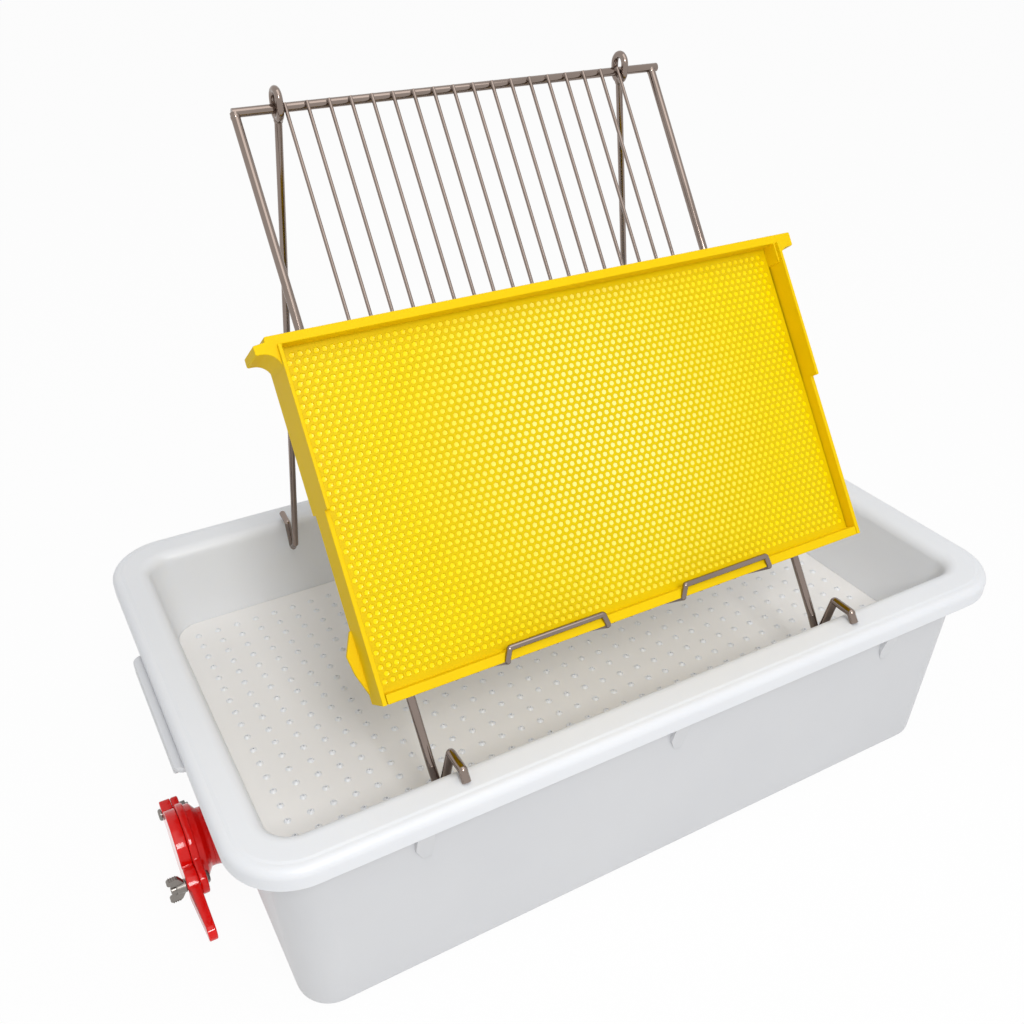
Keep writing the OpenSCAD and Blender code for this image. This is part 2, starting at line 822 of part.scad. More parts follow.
module comb_frame() {
  inner_w = frame_w - 2 * bar_t;
  groove = 1.5;
  color(frame_yellow)
    on_panel()
      difference() {
        union() {
          frame_block(-frame_w / 2, frame_h - rail_t, [frame_w, rail_t, top_depth]);
          frame_block(-frame_w / 2, 0, [frame_w, rail_t, lower_depth]);
          for (x = [-frame_w / 2, frame_w / 2 - bar_t]) {
            frame_block(x, 0, [bar_t, frame_h, lower_depth]);
            frame_block(x, bar_step, [bar_t, frame_h - bar_step - rail_t, upper_depth]);
          }
          lug();
          translate([2 * frame_x, 0, 0]) mirror([1, 0, 0]) lug();
          spacer_fin();
        }
        frame_block(-inner_w / 2 - groove, rail_t - groove,
          [inner_w + 2 * groove, frame_h - 2 * rail_t + 2 * groove, tongue_t + fit_gap]);
      }
}

// One face of the foundation, cut through by coarse six-sided cells that stand for the fine ones
module cell_face(w, h) {
  row_pitch = cell_pitch * cos(30);
  count_x = floor(w / cell_pitch) - 1;
  count_y = floor((h - cell_w) / row_pitch);
  linear_extrude(cell_depth)
    difference() {
      translate([-w / 2, -h / 2]) square([w, h]);
      for (j = [0:count_y], i = [0:count_x - j % 2]) {
        translate([(i - (count_x - j % 2) / 2) * cell_pitch, (j - count_y / 2) * row_pitch])
          rotate(30) circle(d = cell_w / cos(30), $fn = 6);
      }
    }
}

// Comb foundation, its thin edge held in the frame's groove
module comb_foundation() {
  inner_w = frame_w - 2 * bar_t;
  inner_h = frame_h - 2 * rail_t;
  sheet_w = inner_w - 2 * fit_gap;
  sheet_h = inner_h - 2 * fit_gap;
  tongue = 1.2;
  core_t = comb_t - 2 * cell_depth;
  color(frame_yellow)
    on_panel() {
      frame_block(-sheet_w / 2, rail_t + fit_gap, [sheet_w, sheet_h, core_t]);
      frame_block(-inner_w / 2 - tongue, rail_t - tongue,
        [inner_w + 2 * tongue, inner_h + 2 * tongue, tongue_t]);
      for (z = [-comb_t / 2, core_t / 2]) {
        translate([frame_x, comb_bottom + frame_h / 2, comb_mid + z]) cell_face(sheet_w, sheet_h);
      }
    }
}

tank();
gate_body();
gate_collar();
gate_gasket();
gate_lock_nut();
gate_seal();
pivot_bolt();
pivot_nut();
clamp_bolt();
gate_blade();
wing_nut();
tray();
strainer_floor();
top_rod();
left_side_rod();
right_side_rod();
lower_cross_rod();
grid_wires();
left_rest();
right_rest();
left_leg();
right_leg();
comb_frame();
comb_foundation();
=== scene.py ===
# %% [markdown]
# # Uncapping tank
# A white polyethylene tub holds honey. A second tub, the tray, nests in it and
# has a perforated floor. A wire stand hooks over the tray's rim and carries a
# yellow hive frame while its comb is uncapped. A red gate lets the honey out.
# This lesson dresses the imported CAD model. Sizes are written in millimetres,
# in the CAD model's own frame, and become metres when a piece is finished.

# %% Load the frame
import math

import bmesh
import bpy
from mathutils import Matrix, Vector


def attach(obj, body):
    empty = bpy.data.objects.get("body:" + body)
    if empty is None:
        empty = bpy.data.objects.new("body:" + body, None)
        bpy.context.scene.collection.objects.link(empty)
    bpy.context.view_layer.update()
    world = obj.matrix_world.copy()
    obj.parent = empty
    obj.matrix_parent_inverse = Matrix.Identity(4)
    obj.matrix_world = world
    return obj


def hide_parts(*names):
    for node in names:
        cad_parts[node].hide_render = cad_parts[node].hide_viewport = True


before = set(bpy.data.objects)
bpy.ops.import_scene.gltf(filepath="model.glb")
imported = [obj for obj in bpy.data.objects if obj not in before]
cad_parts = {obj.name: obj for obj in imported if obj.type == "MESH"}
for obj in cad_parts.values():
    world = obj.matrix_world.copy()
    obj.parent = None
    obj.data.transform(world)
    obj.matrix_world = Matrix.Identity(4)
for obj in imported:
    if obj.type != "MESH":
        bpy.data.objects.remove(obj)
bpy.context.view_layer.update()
MM = 0.001

# %% [markdown]
# ## Camera
# The photograph looks down at the front left corner of the tub. The camera's
# place, turn and focal length come from a fit of the object's own corners,
# wires and holes. The axes are written as the columns of a turn matrix.

# %% Camera
CAMERA_AT = Vector((-349.70, -569.78, 623.84))
CAMERA_RIGHT = Vector((0.879312, -0.476016, -0.014813))
CAMERA_UP = Vector((0.262662, 0.458783, 0.848838))
CAMERA_BACK = Vector((-0.397265, -0.750284, 0.528445))
SENSOR = 36.0
FOCAL_PIXELS = 1028.63
PICTURE_PIXELS = 1024
CENTRE_OFF = (-21.77, 4.66)

camera = bpy.data.objects.new("camera", bpy.data.cameras.new("camera"))
bpy.context.scene.collection.objects.link(camera)
turn = Matrix((CAMERA_RIGHT, CAMERA_UP, CAMERA_BACK)).transposed().to_4x4()
camera.matrix_world = Matrix.Translation(CAMERA_AT * MM) @ turn
camera.data.sensor_width = SENSOR
camera.data.lens = SENSOR * FOCAL_PIXELS / PICTURE_PIXELS
camera.data.shift_x = -CENTRE_OFF[0] / PICTURE_PIXELS
camera.data.shift_y = CENTRE_OFF[1] / PICTURE_PIXELS
camera.data.clip_start = 0.01
bpy.context.scene.camera = camera
print("lens", round(camera.data.lens, 2), "mm")

# %% [markdown]
# ## Tools for the finishes
# A colour is read off as an sRGB hex value, but Blender's shaders work in
# linear light, so one function turns one into the other. One more function
# adds a node with its settings and links, which keeps every recipe short, and
# most finishes share the recipe for tone, roughness and relief.


# %% Colour and node helpers
def colour(text):
    """Turn an sRGB hex value into linear red, green, blue and alpha."""
    parts = [int(text[i:i + 2], 16) / 255 for i in (1, 3, 5)]
    linear = [c / 12.92 if c <= 0.04045 else ((c + 0.055) / 1.055) ** 2.4 for c in parts]
    return (*linear, 1.0)


def add(tree, kind, inputs=None, **settings):
    """Add one node. Inputs are plain values or the sockets to link."""
    made = tree.nodes.new("ShaderNode" + kind)
    for name, value in settings.items():
        setattr(made, name, value)
    for name, value in (inputs or {}).items():
        if isinstance(value, bpy.types.NodeSocket):
            tree.links.new(value, made.inputs[name])
        else:
            made.inputs[name].default_value = value
    return made


def per_mm(size):
    """Texture scale that gives features of about this size in millimetres."""
    return 1 / (size * MM)


def new_finish(name, **sockets):
    """Start a material with one shader and set its plain sockets."""
    made = bpy.data.materials.new(name)
    made.use_nodes = True
    shader = made.node_tree.nodes["Principled BSDF"]
    for socket, value in sockets.items():
        shader.inputs[socket.replace("_", " ")].default_value = value
    where = add(made.node_tree, "TexCoord").outputs["Object"]
    return made, made.node_tree, shader, where


def dress(tree, shader, share, tones, rough, relief, strength, depth):
    """One pattern drives tone and roughness, another presses in by a depth in millimetres."""
    tone = add(tree, "Mix", {"Factor": share, "A": colour(tones[0]), "B": colour(tones[1])},
               data_type="RGBA")
    tree.links.new(tone.outputs["Result"], shader.inputs["Base Color"])
    gloss = add(tree, "MapRange", {"Value": share, "To Min": rough[0], "To Max": rough[1]})
    tree.links.new(gloss.outputs["Result"], shader.inputs["Roughness"])
    bump = add(tree, "Bump", {"Height": relief, "Strength": strength, "Distance": depth * MM})
    tree.links.new(bump.outputs["Normal"], shader.inputs["Normal"])


print("helpers ready")

# %% [markdown]
# ## Polyethylene
# The tub and tray are moulded from natural high-density polyethylene. The
# plastic is milky: light goes a little way in, so edges look soft and shadows
# pale. The surface has a low sheen with a fine orange peel from the mould, and
# the wall's tone drifts a little over a hand's width.

# %% Polyethylene
PEEL_MM, PEEL_STRENGTH = 2.2, 0.05
DRIFT_MM = 90.0
SATIN = (0.30, 0.42)


def moulded_polyethylene(name, pale, deep):
    """Milky moulded polyethylene between two close tones."""
    finish, tree, shader, where = new_finish(
        name, IOR=1.51, Subsurface_Weight=0.12, Subsurface_Scale=0.004)
    shader.inputs["Subsurface Radius"].default_value = (1.0, 0.9, 0.8)
    drift = add(tree, "TexNoise", {"Vector": where, "Scale": per_mm(DRIFT_MM), "Detail": 3.0})
    peel = add(tree, "TexNoise", {"Vector": where, "Scale": per_mm(PEEL_MM), "Detail": 2.0})
    dress(tree, shader, drift.outputs["Fac"], (pale, deep), SATIN,
          peel.outputs["Fac"], PEEL_STRENGTH, 0.4)
    return finish


# One plastic in three tones: the tub is darker, painted shade for its outer walls, and the tray and
# strainer are lighter, painted light inside the tray.
tub_painted_shade = moulded_polyethylene("polyethylene_tub_painted_shade", "#D9DADC", "#D2D3D6")
tray_painted_light = moulded_polyethylene("polyethylene_tray_painted_light", "#EAECEF", "#E4E6EA")
strainer_painted_light = moulded_polyethylene("polyethylene_strainer_painted_light", "#F0EEEC", "#E9E7E5")
print("polyethylene finishes", tub_painted_shade.name, tray_painted_light.name, strainer_painted_light.name)

# %% [markdown]
# ## Red plastic, rubber and the metals
# The gate is injection-moulded nylon, wet-looking and saturated, with small
# hard highlights and a faint ripple. The seals are black rubber with a dull
# bloom. Bolts and nuts are zinc plated steel, grey with a fine grain. The wires
# are bright-drawn stainless steel: a smooth polish that mirrors the room. Their
# base tone is darker and browner than bare steel, a painted reflection of a dark
# brown room; it drifts along the wire, and there is no relief an eye would see.

# %% Gate, rubber and metal finishes
RIPPLE_MM = 6.0
BLOOM_MM = 1.5
GRAIN_MM = 0.8
DRAWN_MM = 30.0
GRAIN_STRENGTH = 0.1


def speckled(name, dark, light, size, rough, depth, **sockets):
    """A finish whose tone and roughness vary with one noise of a real size."""
    finish, tree, shader, where = new_finish(name, **sockets)
    noise = add(tree, "TexNoise", {"Vector": where, "Scale": per_mm(size), "Detail": 4.0})
    grain = noise.outputs["Fac"]
    dress(tree, shader, grain, (dark, light), rough, grain, GRAIN_STRENGTH, depth)
    return finish


gate_red = speckled("moulded_red_nylon", "#E00A06", "#EE120C", RIPPLE_MM, (0.07, 0.12), 0.3,
                    IOR=1.53, Specular_IOR_Level=0.3)
rubber = speckled("black_rubber", "#141414", "#22211F", BLOOM_MM, (0.55, 0.75), 0.2, IOR=1.52)
zinc = speckled("zinc_plated_steel", "#75706B", "#98938E", GRAIN_MM, (0.22, 0.38), 0.1, Metallic=1.0)
# The steel's base tones are darker and browner than bare stainless: a painted reflection of a dark brown
# room.
steel = speckled("drawn_stainless_steel", "#80736B", "#94867E", DRAWN_MM, (0.08, 0.12), 0.0, Metallic=1.0)
print("finishes", [m.name for m in (gate_red, rubber, zinc, steel)])

# %% [markdown]
# ## Yellow polystyrene
# The hive frame and its sheet of cells are moulded in one bright yellow
# plastic with a wax-like sheen. Thin edges let light through and look more
# lemon, so a little light is let into the surface. The bottoms of the cells
# carry a painted highlight, paler than the ridges: cream near its centre on
# the sheet and lemon further out.

# %% Yellow finishes
# The second number is how far the painted highlight on the cell bottoms reaches from its centre.
FLOW_MM, HIGHLIGHT_REACH_MM = 25.0, 150.0


def moulded_yellow(name, deep, bright, rough):
    """Bright moulded polystyrene with slow flow marks."""
    finish, tree, shader, where = new_finish(
        name, IOR=1.55, Specular_IOR_Level=0.12, Subsurface_Weight=0.08, Subsurface_Scale=0.002)
    shader.inputs["Subsurface Radius"].default_value = (1.0, 0.7, 0.1)
    flow = add(tree, "TexNoise", {"Vector": where, "Scale": per_mm(FLOW_MM), "Detail": 3.0})
    peel = add(tree, "TexNoise", {"Vector": where, "Scale": per_mm(PEEL_MM), "Detail": 2.0})
    dress(tree, shader, flow.outputs["Fac"], (deep, bright), (rough, rough + 0.1),
          peel.outputs["Fac"], PEEL_STRENGTH, 0.3)
    return finish


def painted_highlight_cells(name, middle):
    """Cell bottoms with a painted highlight: cream near its centre, lemon further out."""
    finish, tree, shader, where = new_finish(name, Roughness=0.25, IOR=1.55, Specular_IOR_Level=0.2)
    # Distance from the centre of the painted highlight.
    away = add(tree, "VectorMath", {0: where, 1: middle}, operation="DISTANCE")
    fade = add(tree, "MapRange", {"Value": away.outputs["Value"], "From Max": HIGHLIGHT_REACH_MM * MM},
               interpolation_type="SMOOTHSTEP")
    tone = add(tree, "Mix", {"Factor": fade.outputs["Result"], "A": colour("#FFF59A"),
                             "B": colour("#F8E000")}, data_type="RGBA")
    tree.links.new(tone.outputs["Result"], shader.inputs["Base Color"])
    return finish


frame_yellow = moulded_yellow("moulded_yellow_polystyrene", "#EAC400", "#F2CD00", 0.5)
cell_yellow = moulded_yellow("embossed_yellow_polystyrene", "#DCBE00", "#E4C800", 0.35)
print("yellow finishes", frame_yellow.name, cell_yellow.name)

# %% [markdown]
# ## Tools for the shapes
# Most pieces start as one flat outline. Its corners are rounded with the
# bevel operator in its vertex mode, which is what a fillet does in a drawing.
# A piece is finished in one place: doubles are merged, faces turned outwards,
# edges sharper than a limit kept crisp, and the mesh is scaled to metres.

# %% Shape helpers
CRISP = math.radians(40)
FILLET_STEPS = 5


def flat(points, steps=FILLET_STEPS):
    """One face in the XY plane. A third number rounds that corner."""
    bm = bmesh.new()
    corners = [bm.verts.new((p[0], p[1], 0)) for p in points]
    bm.faces.new(corners)
    for i, p in enumerate(points):
        if len(p) > 2:
            here = Vector(p[:2])
            back = Vector(points[i - 1][:2]) - here
            on = Vector(points[(i + 1) % len(points)][:2]) - here
            slide = p[2] / math.tan(back.angle(on) / 2)
            bmesh.ops.bevel(bm, geom=[corners[i]], offset=slide, offset_type="OFFSET",
                            affect="VERTICES", segments=steps, profile=0.5, material=-1)
    return bm


def arc(centre, radius, start, end, steps):
    """Points on a circle between two angles in degrees."""
    angles = [math.radians(start + (end - start) * i / steps) for i in range(steps + 1)]
    return [(centre[0] + radius * math.cos(a), centre[1] + radius * math.sin(a)) for a in angles]


def thicken(bm, height):
    """Pull a flat face up into a solid."""
    top = bmesh.ops.extrude_face_region(bm, geom=bm.faces[:])["geom"]
    bmesh.ops.translate(bm, verts=[g for g in top if isinstance(g, bmesh.types.BMVert)],
                        vec=(0, 0, height))
    bmesh.ops.recalc_face_normals(bm, faces=bm.faces[:])
    return bm


def soften(bm, width, segments=2, limit=CRISP):
    """Round the crisp edges, as a mould does."""
    edges = [e for e in bm.edges if e.is_manifold and e.calc_face_angle(0) > limit]
    bmesh.ops.bevel(bm, geom=edges, offset=width, offset_type="OFFSET", affect="EDGES",
                    segments=segments, profile=0.5, clamp_overlap=True, material=-1)


def repeat(bm, step, count):
    """A straight array made with the spin operator's step vector."""
    bmesh.ops.spin(bm, geom=bm.verts[:] + bm.edges[:] + bm.faces[:], cent=(0, 0, 0), axis=(0, 0, 1),
                   dvec=step, angle=0, steps=count - 1, use_duplicate=True)


def join(target, source, matrix=None):
    """Put one shape into another, moved by a matrix."""
    if matrix is not None:
        source.transform(matrix)
        if matrix.determinant() < 0:
            bmesh.ops.reverse_faces(source, faces=source.faces[:])
    carrier = bpy.data.meshes.new("carrier")
    source.to_mesh(carrier)
    target.from_mesh(carrier)
    source.free()
    bpy.data.meshes.remove(carrier)


def piece(name, bm, finish, body, slot, *nodes, turn_out=True):
    """Finish a shape: outward faces, crisp edges, metres and body. The slot is not used."""
    bmesh.ops.remove_doubles(bm, verts=bm.verts[:], dist=0.0005)
    if turn_out:
        bmesh.ops.recalc_face_normals(bm, faces=bm.faces[:])
    for f in bm.faces:
        f.smooth = True
    for e in bm.edges:
        e.smooth = e.calc_face_angle(0) < CRISP
    bm.transform(Matrix.Scale(MM, 4))
    mesh = bpy.data.meshes.new(name)
    bm.to_mesh(mesh)
    bm.free()
    mesh.materials.append(finish)
    made = bpy.data.objects.new(name, mesh)
    bpy.context.scene.collection.objects.link(made)
    weigh = made.modifiers.new("flat faces stay flat", "WEIGHTED_NORMAL")
    weigh.keep_sharp = True
    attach(made, body)
    if nodes:
        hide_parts(*nodes)
    print("piece", name, len(mesh.polygons), "faces")
    return made


# %% [markdown]
# ## Tub walls
# Tub and tray are rectangles with round corners. One section through the wall
# goes a quarter turn round a corner, runs straight to the middle of each side,
# and two mirrors make the whole ring. A spin keeps the corner exact, which a
# subdivided box would not. The rim's corners have their own centres, further
# out than the wall's, so points of the section beyond a limit move there. The
# tray's mouth has its own too, because its ends slope more than its sides.

# %% Carry a section round the plan
TANK_CORNER = Vector((249.0, 143.0, 0.0))
TRAY_CORNER = Vector((246.0, 132.5, 0.0))
RIM_CORNER = Vector((259.4, 145.9, 0.0))
MOUTH_CORNER = Vector((257.0, 141.0, 0.0))
RIM_FROM, MOUTH_FROM = 34.0, 130.0
CORNER_STEPS = 18
WALL, BASE_OUT, WALL_SLOPE = 3.5, 24.0, 0.059411


def wall_out(z):
    """How far the tub's outer face is from its corner's centre line."""
    return BASE_OUT + WALL_SLOPE * z


def round_plan(section, corner, drop_from=None, mouth=None):
    """Carry a flat section (distance out, height) round the plan."""
    homes = (corner, RIM_CORNER, mouth)
    section.verts.index_update()
    home = [1 if v.co.x > RIM_FROM else 2 if mouth and v.co.y > MOUTH_FROM else 0
            for v in section.verts]
    section.transform(Matrix.Translation(corner) @ Matrix.Rotation(math.pi / 2, 4, "X"))
    bmesh.ops.delete(section, geom=section.faces[:], context="FACES_ONLY")
    mark = section.verts.layers.int.new("home")
    section.verts.index_update()
    for v in section.verts:
        v[mark] = home[v.index]
    if drop_from is not None:
        inner = [e for e in section.edges
                 if all(v.co.x - corner.x < drop_from for v in e.verts)]
        bmesh.ops.delete(section, geom=inner, context="EDGES")
    first = section.edges[:]
    swept = bmesh.ops.spin(section, geom=section.verts[:] + first, cent=corner, axis=(0, 0, 1),
                           angle=math.pi / 2, steps=CORNER_STEPS)
    last = [g for g in swept["geom_last"] if isinstance(g, bmesh.types.BMEdge)]
    for v in section.verts:
        v.co += homes[v[mark]] - corner
    for edges, axis in ((first, 1), (last, 0)):
        made = bmesh.ops.extrude_edge_only(section, edges=edges)["geom"]
        for g in made:
            if isinstance(g, bmesh.types.BMVert):
                g.co[axis] = 0
    for axis in "XY":
        bmesh.ops.mirror(section, geom=section.verts[:] + section.edges[:] + section.faces[:],
                         matrix=Matrix.Identity(4), merge_dist=0.001, axis=axis)
    bmesh.ops.remove_doubles(section, verts=section.verts[:], dist=0.001)
    rims = [e for e in section.edges if e.is_boundary]
    if rims:
        bmesh.ops.holes_fill(section, edges=rims, sides=0)
    bmesh.ops.recalc_face_normals(section, faces=section.faces[:])
    return section


print("plan corners at", tuple(TANK_CORNER), tuple(TRAY_CORNER), tuple(RIM_CORNER))

# %% [markdown]
# ## Tank
# The tub has sloped walls so that it leaves its mould, a flange that the tray
# sits on, gussets under the flange and a handle at each end. Its floor is
# closed by filling the two open loops that the sweep leaves. Each gusset is an
# outline pulled to a thin plate, cut across once, and spread above that cut, so
# that only its pointed lower end shows under the tray's skirt.

# %% Tank shell
FLANGE_LOW, TANK_TOP, FLANGE_OUT = 156.0, 160.0, 39.5
FLOOR_T = 4.0
FLOOR_REACH = 10.0

tank = round_plan(flat([
    (FLOOR_REACH, 0), (wall_out(0), 0, 8), (wall_out(FLANGE_LOW), FLANGE_LOW, 1),
    (FLANGE_OUT, FLANGE_LOW, 1.2), (FLANGE_OUT, TANK_TOP, 1.2),
    (wall_out(TANK_TOP) - WALL, TANK_TOP, 1), (wall_out(FLOOR_T) - WALL, FLOOR_T, 4.5),
    (FLOOR_REACH, FLOOR_T)]), TANK_CORNER, FLOOR_REACH + 0.5)
print("tank shell", len(tank.faces), "faces")

# %% Gussets and handles
RIB_AT = (-186.0, 4.0, 198.0)
RIB_T, RIB_LOW, RIB_POINT, RIB_HIGH = 2.0, 105.0, 126.0, 158.0
RIB_LEFT, RIB_RIGHT = 8.7, 1.0
SKIRT_LOW = 150.0
rib_out = RIM_CORNER.y + FLANGE_OUT - 2
for x in RIB_AT:
    for side in (-1, 1):
        rib = thicken(flat([
            (TANK_CORNER.y + wall_out(RIB_LOW) - WALL / 2, RIB_LOW), (rib_out, SKIRT_LOW, 3),
            (rib_out, RIB_HIGH), (TANK_CORNER.y + wall_out(RIB_HIGH) - WALL / 2, RIB_HIGH)]), RIB_T)
        bmesh.ops.bisect_plane(rib, geom=rib.verts[:] + rib.edges[:] + rib.faces[:],
                               plane_co=(0, RIB_POINT, 0), plane_no=(0, 1, 0))
        for v in rib.verts:
            if v.co.y > RIB_POINT - 0.1:
                v.co.z += RIB_RIGHT if v.co.z > RIB_T / 2 else -RIB_LEFT
        soften(rib, 0.4)
        place = Matrix.Translation((x - RIB_T / 2, 0, 0)) @ Matrix(
            ((0, 0, 1, 0), (side, 0, 0, 0), (0, 1, 0, 0), (0, 0, 0, 1)))
        join(tank, rib, place)

HANDLE_OUT, HANDLE_HALF, HANDLE_CUT, HANDLE_EDGE = 309.4, 64.0, 7.0, 1.2
SHELF_LOW, SHELF_HIGH, LIP_LOW, LIP_T = 145.0, 149.0, 139.0, 4.0
handle_root = TANK_CORNER.x + wall_out(SHELF_LOW) - WALL / 2
for side in (-1, 1):
    shelf = thicken(flat([
        (handle_root, -HANDLE_HALF), (HANDLE_OUT, -HANDLE_HALF, HANDLE_CUT),
        (HANDLE_OUT, HANDLE_HALF, HANDLE_CUT), (handle_root, HANDLE_HALF)]), SHELF_HIGH - SHELF_LOW)
    soften(shelf, HANDLE_EDGE, 3)
    join(tank, shelf, Matrix.Translation((0, 0, SHELF_LOW)) @ Matrix.Scale(side, 4, (1, 0, 0)))
    lip = thicken(flat([
        (-HANDLE_HALF + HANDLE_CUT, LIP_LOW, 3), (HANDLE_HALF - HANDLE_CUT, LIP_LOW, 3),
        (HANDLE_HALF - HANDLE_CUT, SHELF_LOW + 2), (-HANDLE_HALF + HANDLE_CUT, SHELF_LOW + 2)]), LIP_T)
    soften(lip, HANDLE_EDGE, 3)
    place = Matrix.Translation((side * (HANDLE_OUT - LIP_T / 2) - LIP_T / 2, 0, 0)) @ Matrix(
        ((0, 0, 1, 0), (1, 0, 0, 0), (0, 1, 0, 0), (0, 0, 0, 1)))
    join(tank, lip, place)
print("gussets", 2 * len(RIB_AT), "handles 2")

# %% [markdown]
# ## Rings of the gate
# The gate is round about an axis along X, so its rings are spun sections. The
# section is drawn as distance out from the pad's face against radius, and one
# matrix turns it so that out is minus X and the bolts lie along Y. The first
# ring is the flat pad on the tank's end that the gate is clamped to.

# %% Gate placing, spun rings and the pad
PAD_X, GATE_Y, GATE_Z = -277.26, -16.0, 34.0
TURN_STEPS = 56
GATE = Matrix.Translation((PAD_X, GATE_Y, GATE_Z)) @ Matrix(
    ((0, 0, -1, 0), (0, 1, 0, 0), (1, 0, 0, 0), (0, 0, 0, 1)))


def ring(points, steps=TURN_STEPS, centre=(0, 0)):
    """Spin a closed section of (out, radius) points round the gate's axis."""
    bm = flat([(p[1], p[0], *p[2:]) for p in points], 4)
    bm.transform(Matrix.Rotation(math.pi / 2, 4, "X"))
    bmesh.ops.delete(bm, geom=bm.faces[:], context="FACES_ONLY")
    bmesh.ops.spin(bm, geom=bm.verts[:] + bm.edges[:], cent=(0, 0, 0), axis=(0, 0, 1),
                   angle=2 * math.pi, steps=steps, use_merge=True)
    bmesh.ops.remove_doubles(bm, verts=bm.verts[:], dist=0.0005)
    bmesh.ops.recalc_face_normals(bm, faces=bm.faces[:])
    bm.transform(GATE @ Matrix.Translation((centre[0], centre[1], 0)))
    return bm


PAD_R, PAD_HOLE_R, PAD_BACK = 31.0, 19.2, -7.98
join(tank, ring([(PAD_BACK, PAD_HOLE_R), (PAD_BACK, PAD_R), (0, PAD_R, 1.2), (0, PAD_HOLE_R)]))
piece("tank_shell", tank, tub_painted_shade, "tank", "polyethylene", "tank")

# %% [markdown]
# ## Tray
# The tray's rim is broad and softly rounded, and its skirt hides the tank's
# flange. A shallow step near the outer edge gives the two fine lines of light
# that run round the rim.

# %% Tray
TRAY_R, MOUTH_R = 20.2, 18.0
RIM_TOP, RIM_OUT, SKIRT_IN = 165.0, 44.0, 41.0
STEP_AT, STEP_DOWN = 36.1, 0.5
TRAY_WALL = 3.0
LEDGE_IN, LEDGE_LOW, LEDGE_TOP = 13.0, 91.0, 94.0
tray = round_plan(flat([
    (LEDGE_IN, LEDGE_LOW), (TRAY_R + TRAY_WALL, LEDGE_LOW, 2),
    (MOUTH_R + TRAY_WALL, TANK_TOP), (SKIRT_IN, TANK_TOP, 1.2),
    (SKIRT_IN, SKIRT_LOW), (RIM_OUT, SKIRT_LOW, 1), (RIM_OUT, RIM_TOP - STEP_DOWN, 6),
    (STEP_AT + 1, RIM_TOP - STEP_DOWN, 0.8), (STEP_AT - 1, RIM_TOP, 1.6),
    (MOUTH_R, RIM_TOP, 9.5), (TRAY_R, LEDGE_TOP, 2),
    (LEDGE_IN, LEDGE_TOP)], 8), TRAY_CORNER, mouth=MOUTH_CORNER)
piece("tray_shell", tray, tray_painted_light, "tray", "polyethylene", "tray")

# %% [markdown]
# ## Strainer floor
# The CAD plate already has every drain hole, so it stays and gets a finish.
# Each hole was punched from below, which raised the plastic round it into a
# small cone that catches the light as a bright nub with a dark eye. One lip is
# a short spun ring with few faces, and a linear array made with the spin
# operator's step vector repeats it.

# %% Strainer floor and its lips
HOLE_R, HOLE_ACROSS, HOLE_DEEP = 2.2, 32, 19
PITCH_X, PITCH_Y = 16.15, 14.85
FLOOR_TOP, LIP_RISE, LIP_STEPS = 97.0, 1.5, 10
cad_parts["strainer_floor"].data.materials.clear()
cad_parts["strainer_floor"].data.materials.append(strainer_painted_light)

lips = bmesh.new()
lip_section = [(HOLE_R + 0.5, -0.05), (HOLE_R - 0.3, 0.7), (1.3, LIP_RISE), (0.8, LIP_RISE), (0.6, -0.6)]
line = [lips.verts.new((r, 0, z)) for r, z in lip_section]
for a, b in zip(line, line[1:]):
    lips.edges.new((a, b))
bmesh.ops.spin(lips, geom=lips.verts[:] + lips.edges[:], cent=(0, 0, 0), axis=(0, 0, 1),
               angle=2 * math.pi, steps=LIP_STEPS, use_merge=True)
bmesh.ops.remove_doubles(lips, verts=lips.verts[:], dist=0.001)
repeat(lips, (PITCH_X, 0, 0), HOLE_ACROSS)
repeat(lips, (0, PITCH_Y, 0), HOLE_DEEP)
bmesh.ops.translate(lips, verts=lips.verts[:], vec=(
    -PITCH_X * (HOLE_ACROSS - 1) / 2, -PITCH_Y * (HOLE_DEEP - 1) / 2, FLOOR_TOP))
bmesh.ops.recalc_face_normals(lips, faces=lips.faces[:])
piece("strainer_hole_lips", lips, tray_painted_light, "tray", "polyethylene")

# %% [markdown]
# ## Gate body, collar and seals
# The body is one moulding: a threaded tail through the tank's wall, a neck, a
# disc and the face plate with two ears for the bolts. The collar flares to the
# wall and squeezes a rubber ring. Everything round is spun, and the eared plate
# is an outline pulled to its thickness with rounded edges.

# %% Spun parts of the gate
TAIL_END, TAIL_R, BORE_R = -21.98, 19.0, 15.0
THREADS, THREAD_FROM, THREAD_STEP, THREAD_DEEP = 8, -20.8, 2.5, 0.9
NECK_AT, NECK_R, DISC_R, FACE_AT = 17.0, 21.8, 27.0, 33.0
GASKET_T, GASKET_R, GASKET_HOLE_R = 3.0, 26.0, 19.5
COLLAR_R, COLLAR_HOLE_R = 28.5, 20.0
SEAL_T, SEAL_HOLE_R, SEAL_R = 2.0, 19.05, 21.95
thread = []
for i in range(THREADS):
    out = THREAD_FROM + i * THREAD_STEP
    thread += [(out, TAIL_R - THREAD_DEEP), (out + THREAD_STEP / 2, TAIL_R)]
body = ring([(TAIL_END, BORE_R, 0.8), (TAIL_END, TAIL_R - THREAD_DEEP, 0.8)] + thread + [
    (NECK_AT, TAIL_R), (NECK_AT, NECK_R, 0.4), (20, NECK_R, 1.5), (22.6, 25.6, 1.5),
    (23.6, DISC_R, 0.8), (28, DISC_R), (FACE_AT, BORE_R + 4), (FACE_AT, BORE_R, 0.8)])
collar = ring([(GASKET_T, COLLAR_HOLE_R), (GASKET_T, COLLAR_R, 0.8), (5, COLLAR_R, 1.0), (8, 24.6, 5),
               (14, 22.2, 4), (NECK_AT, NECK_R, 0.4), (NECK_AT, COLLAR_HOLE_R)])
piece("gate_collar_ring", collar, gate_red, "tank", "gate_red", "gate_collar")
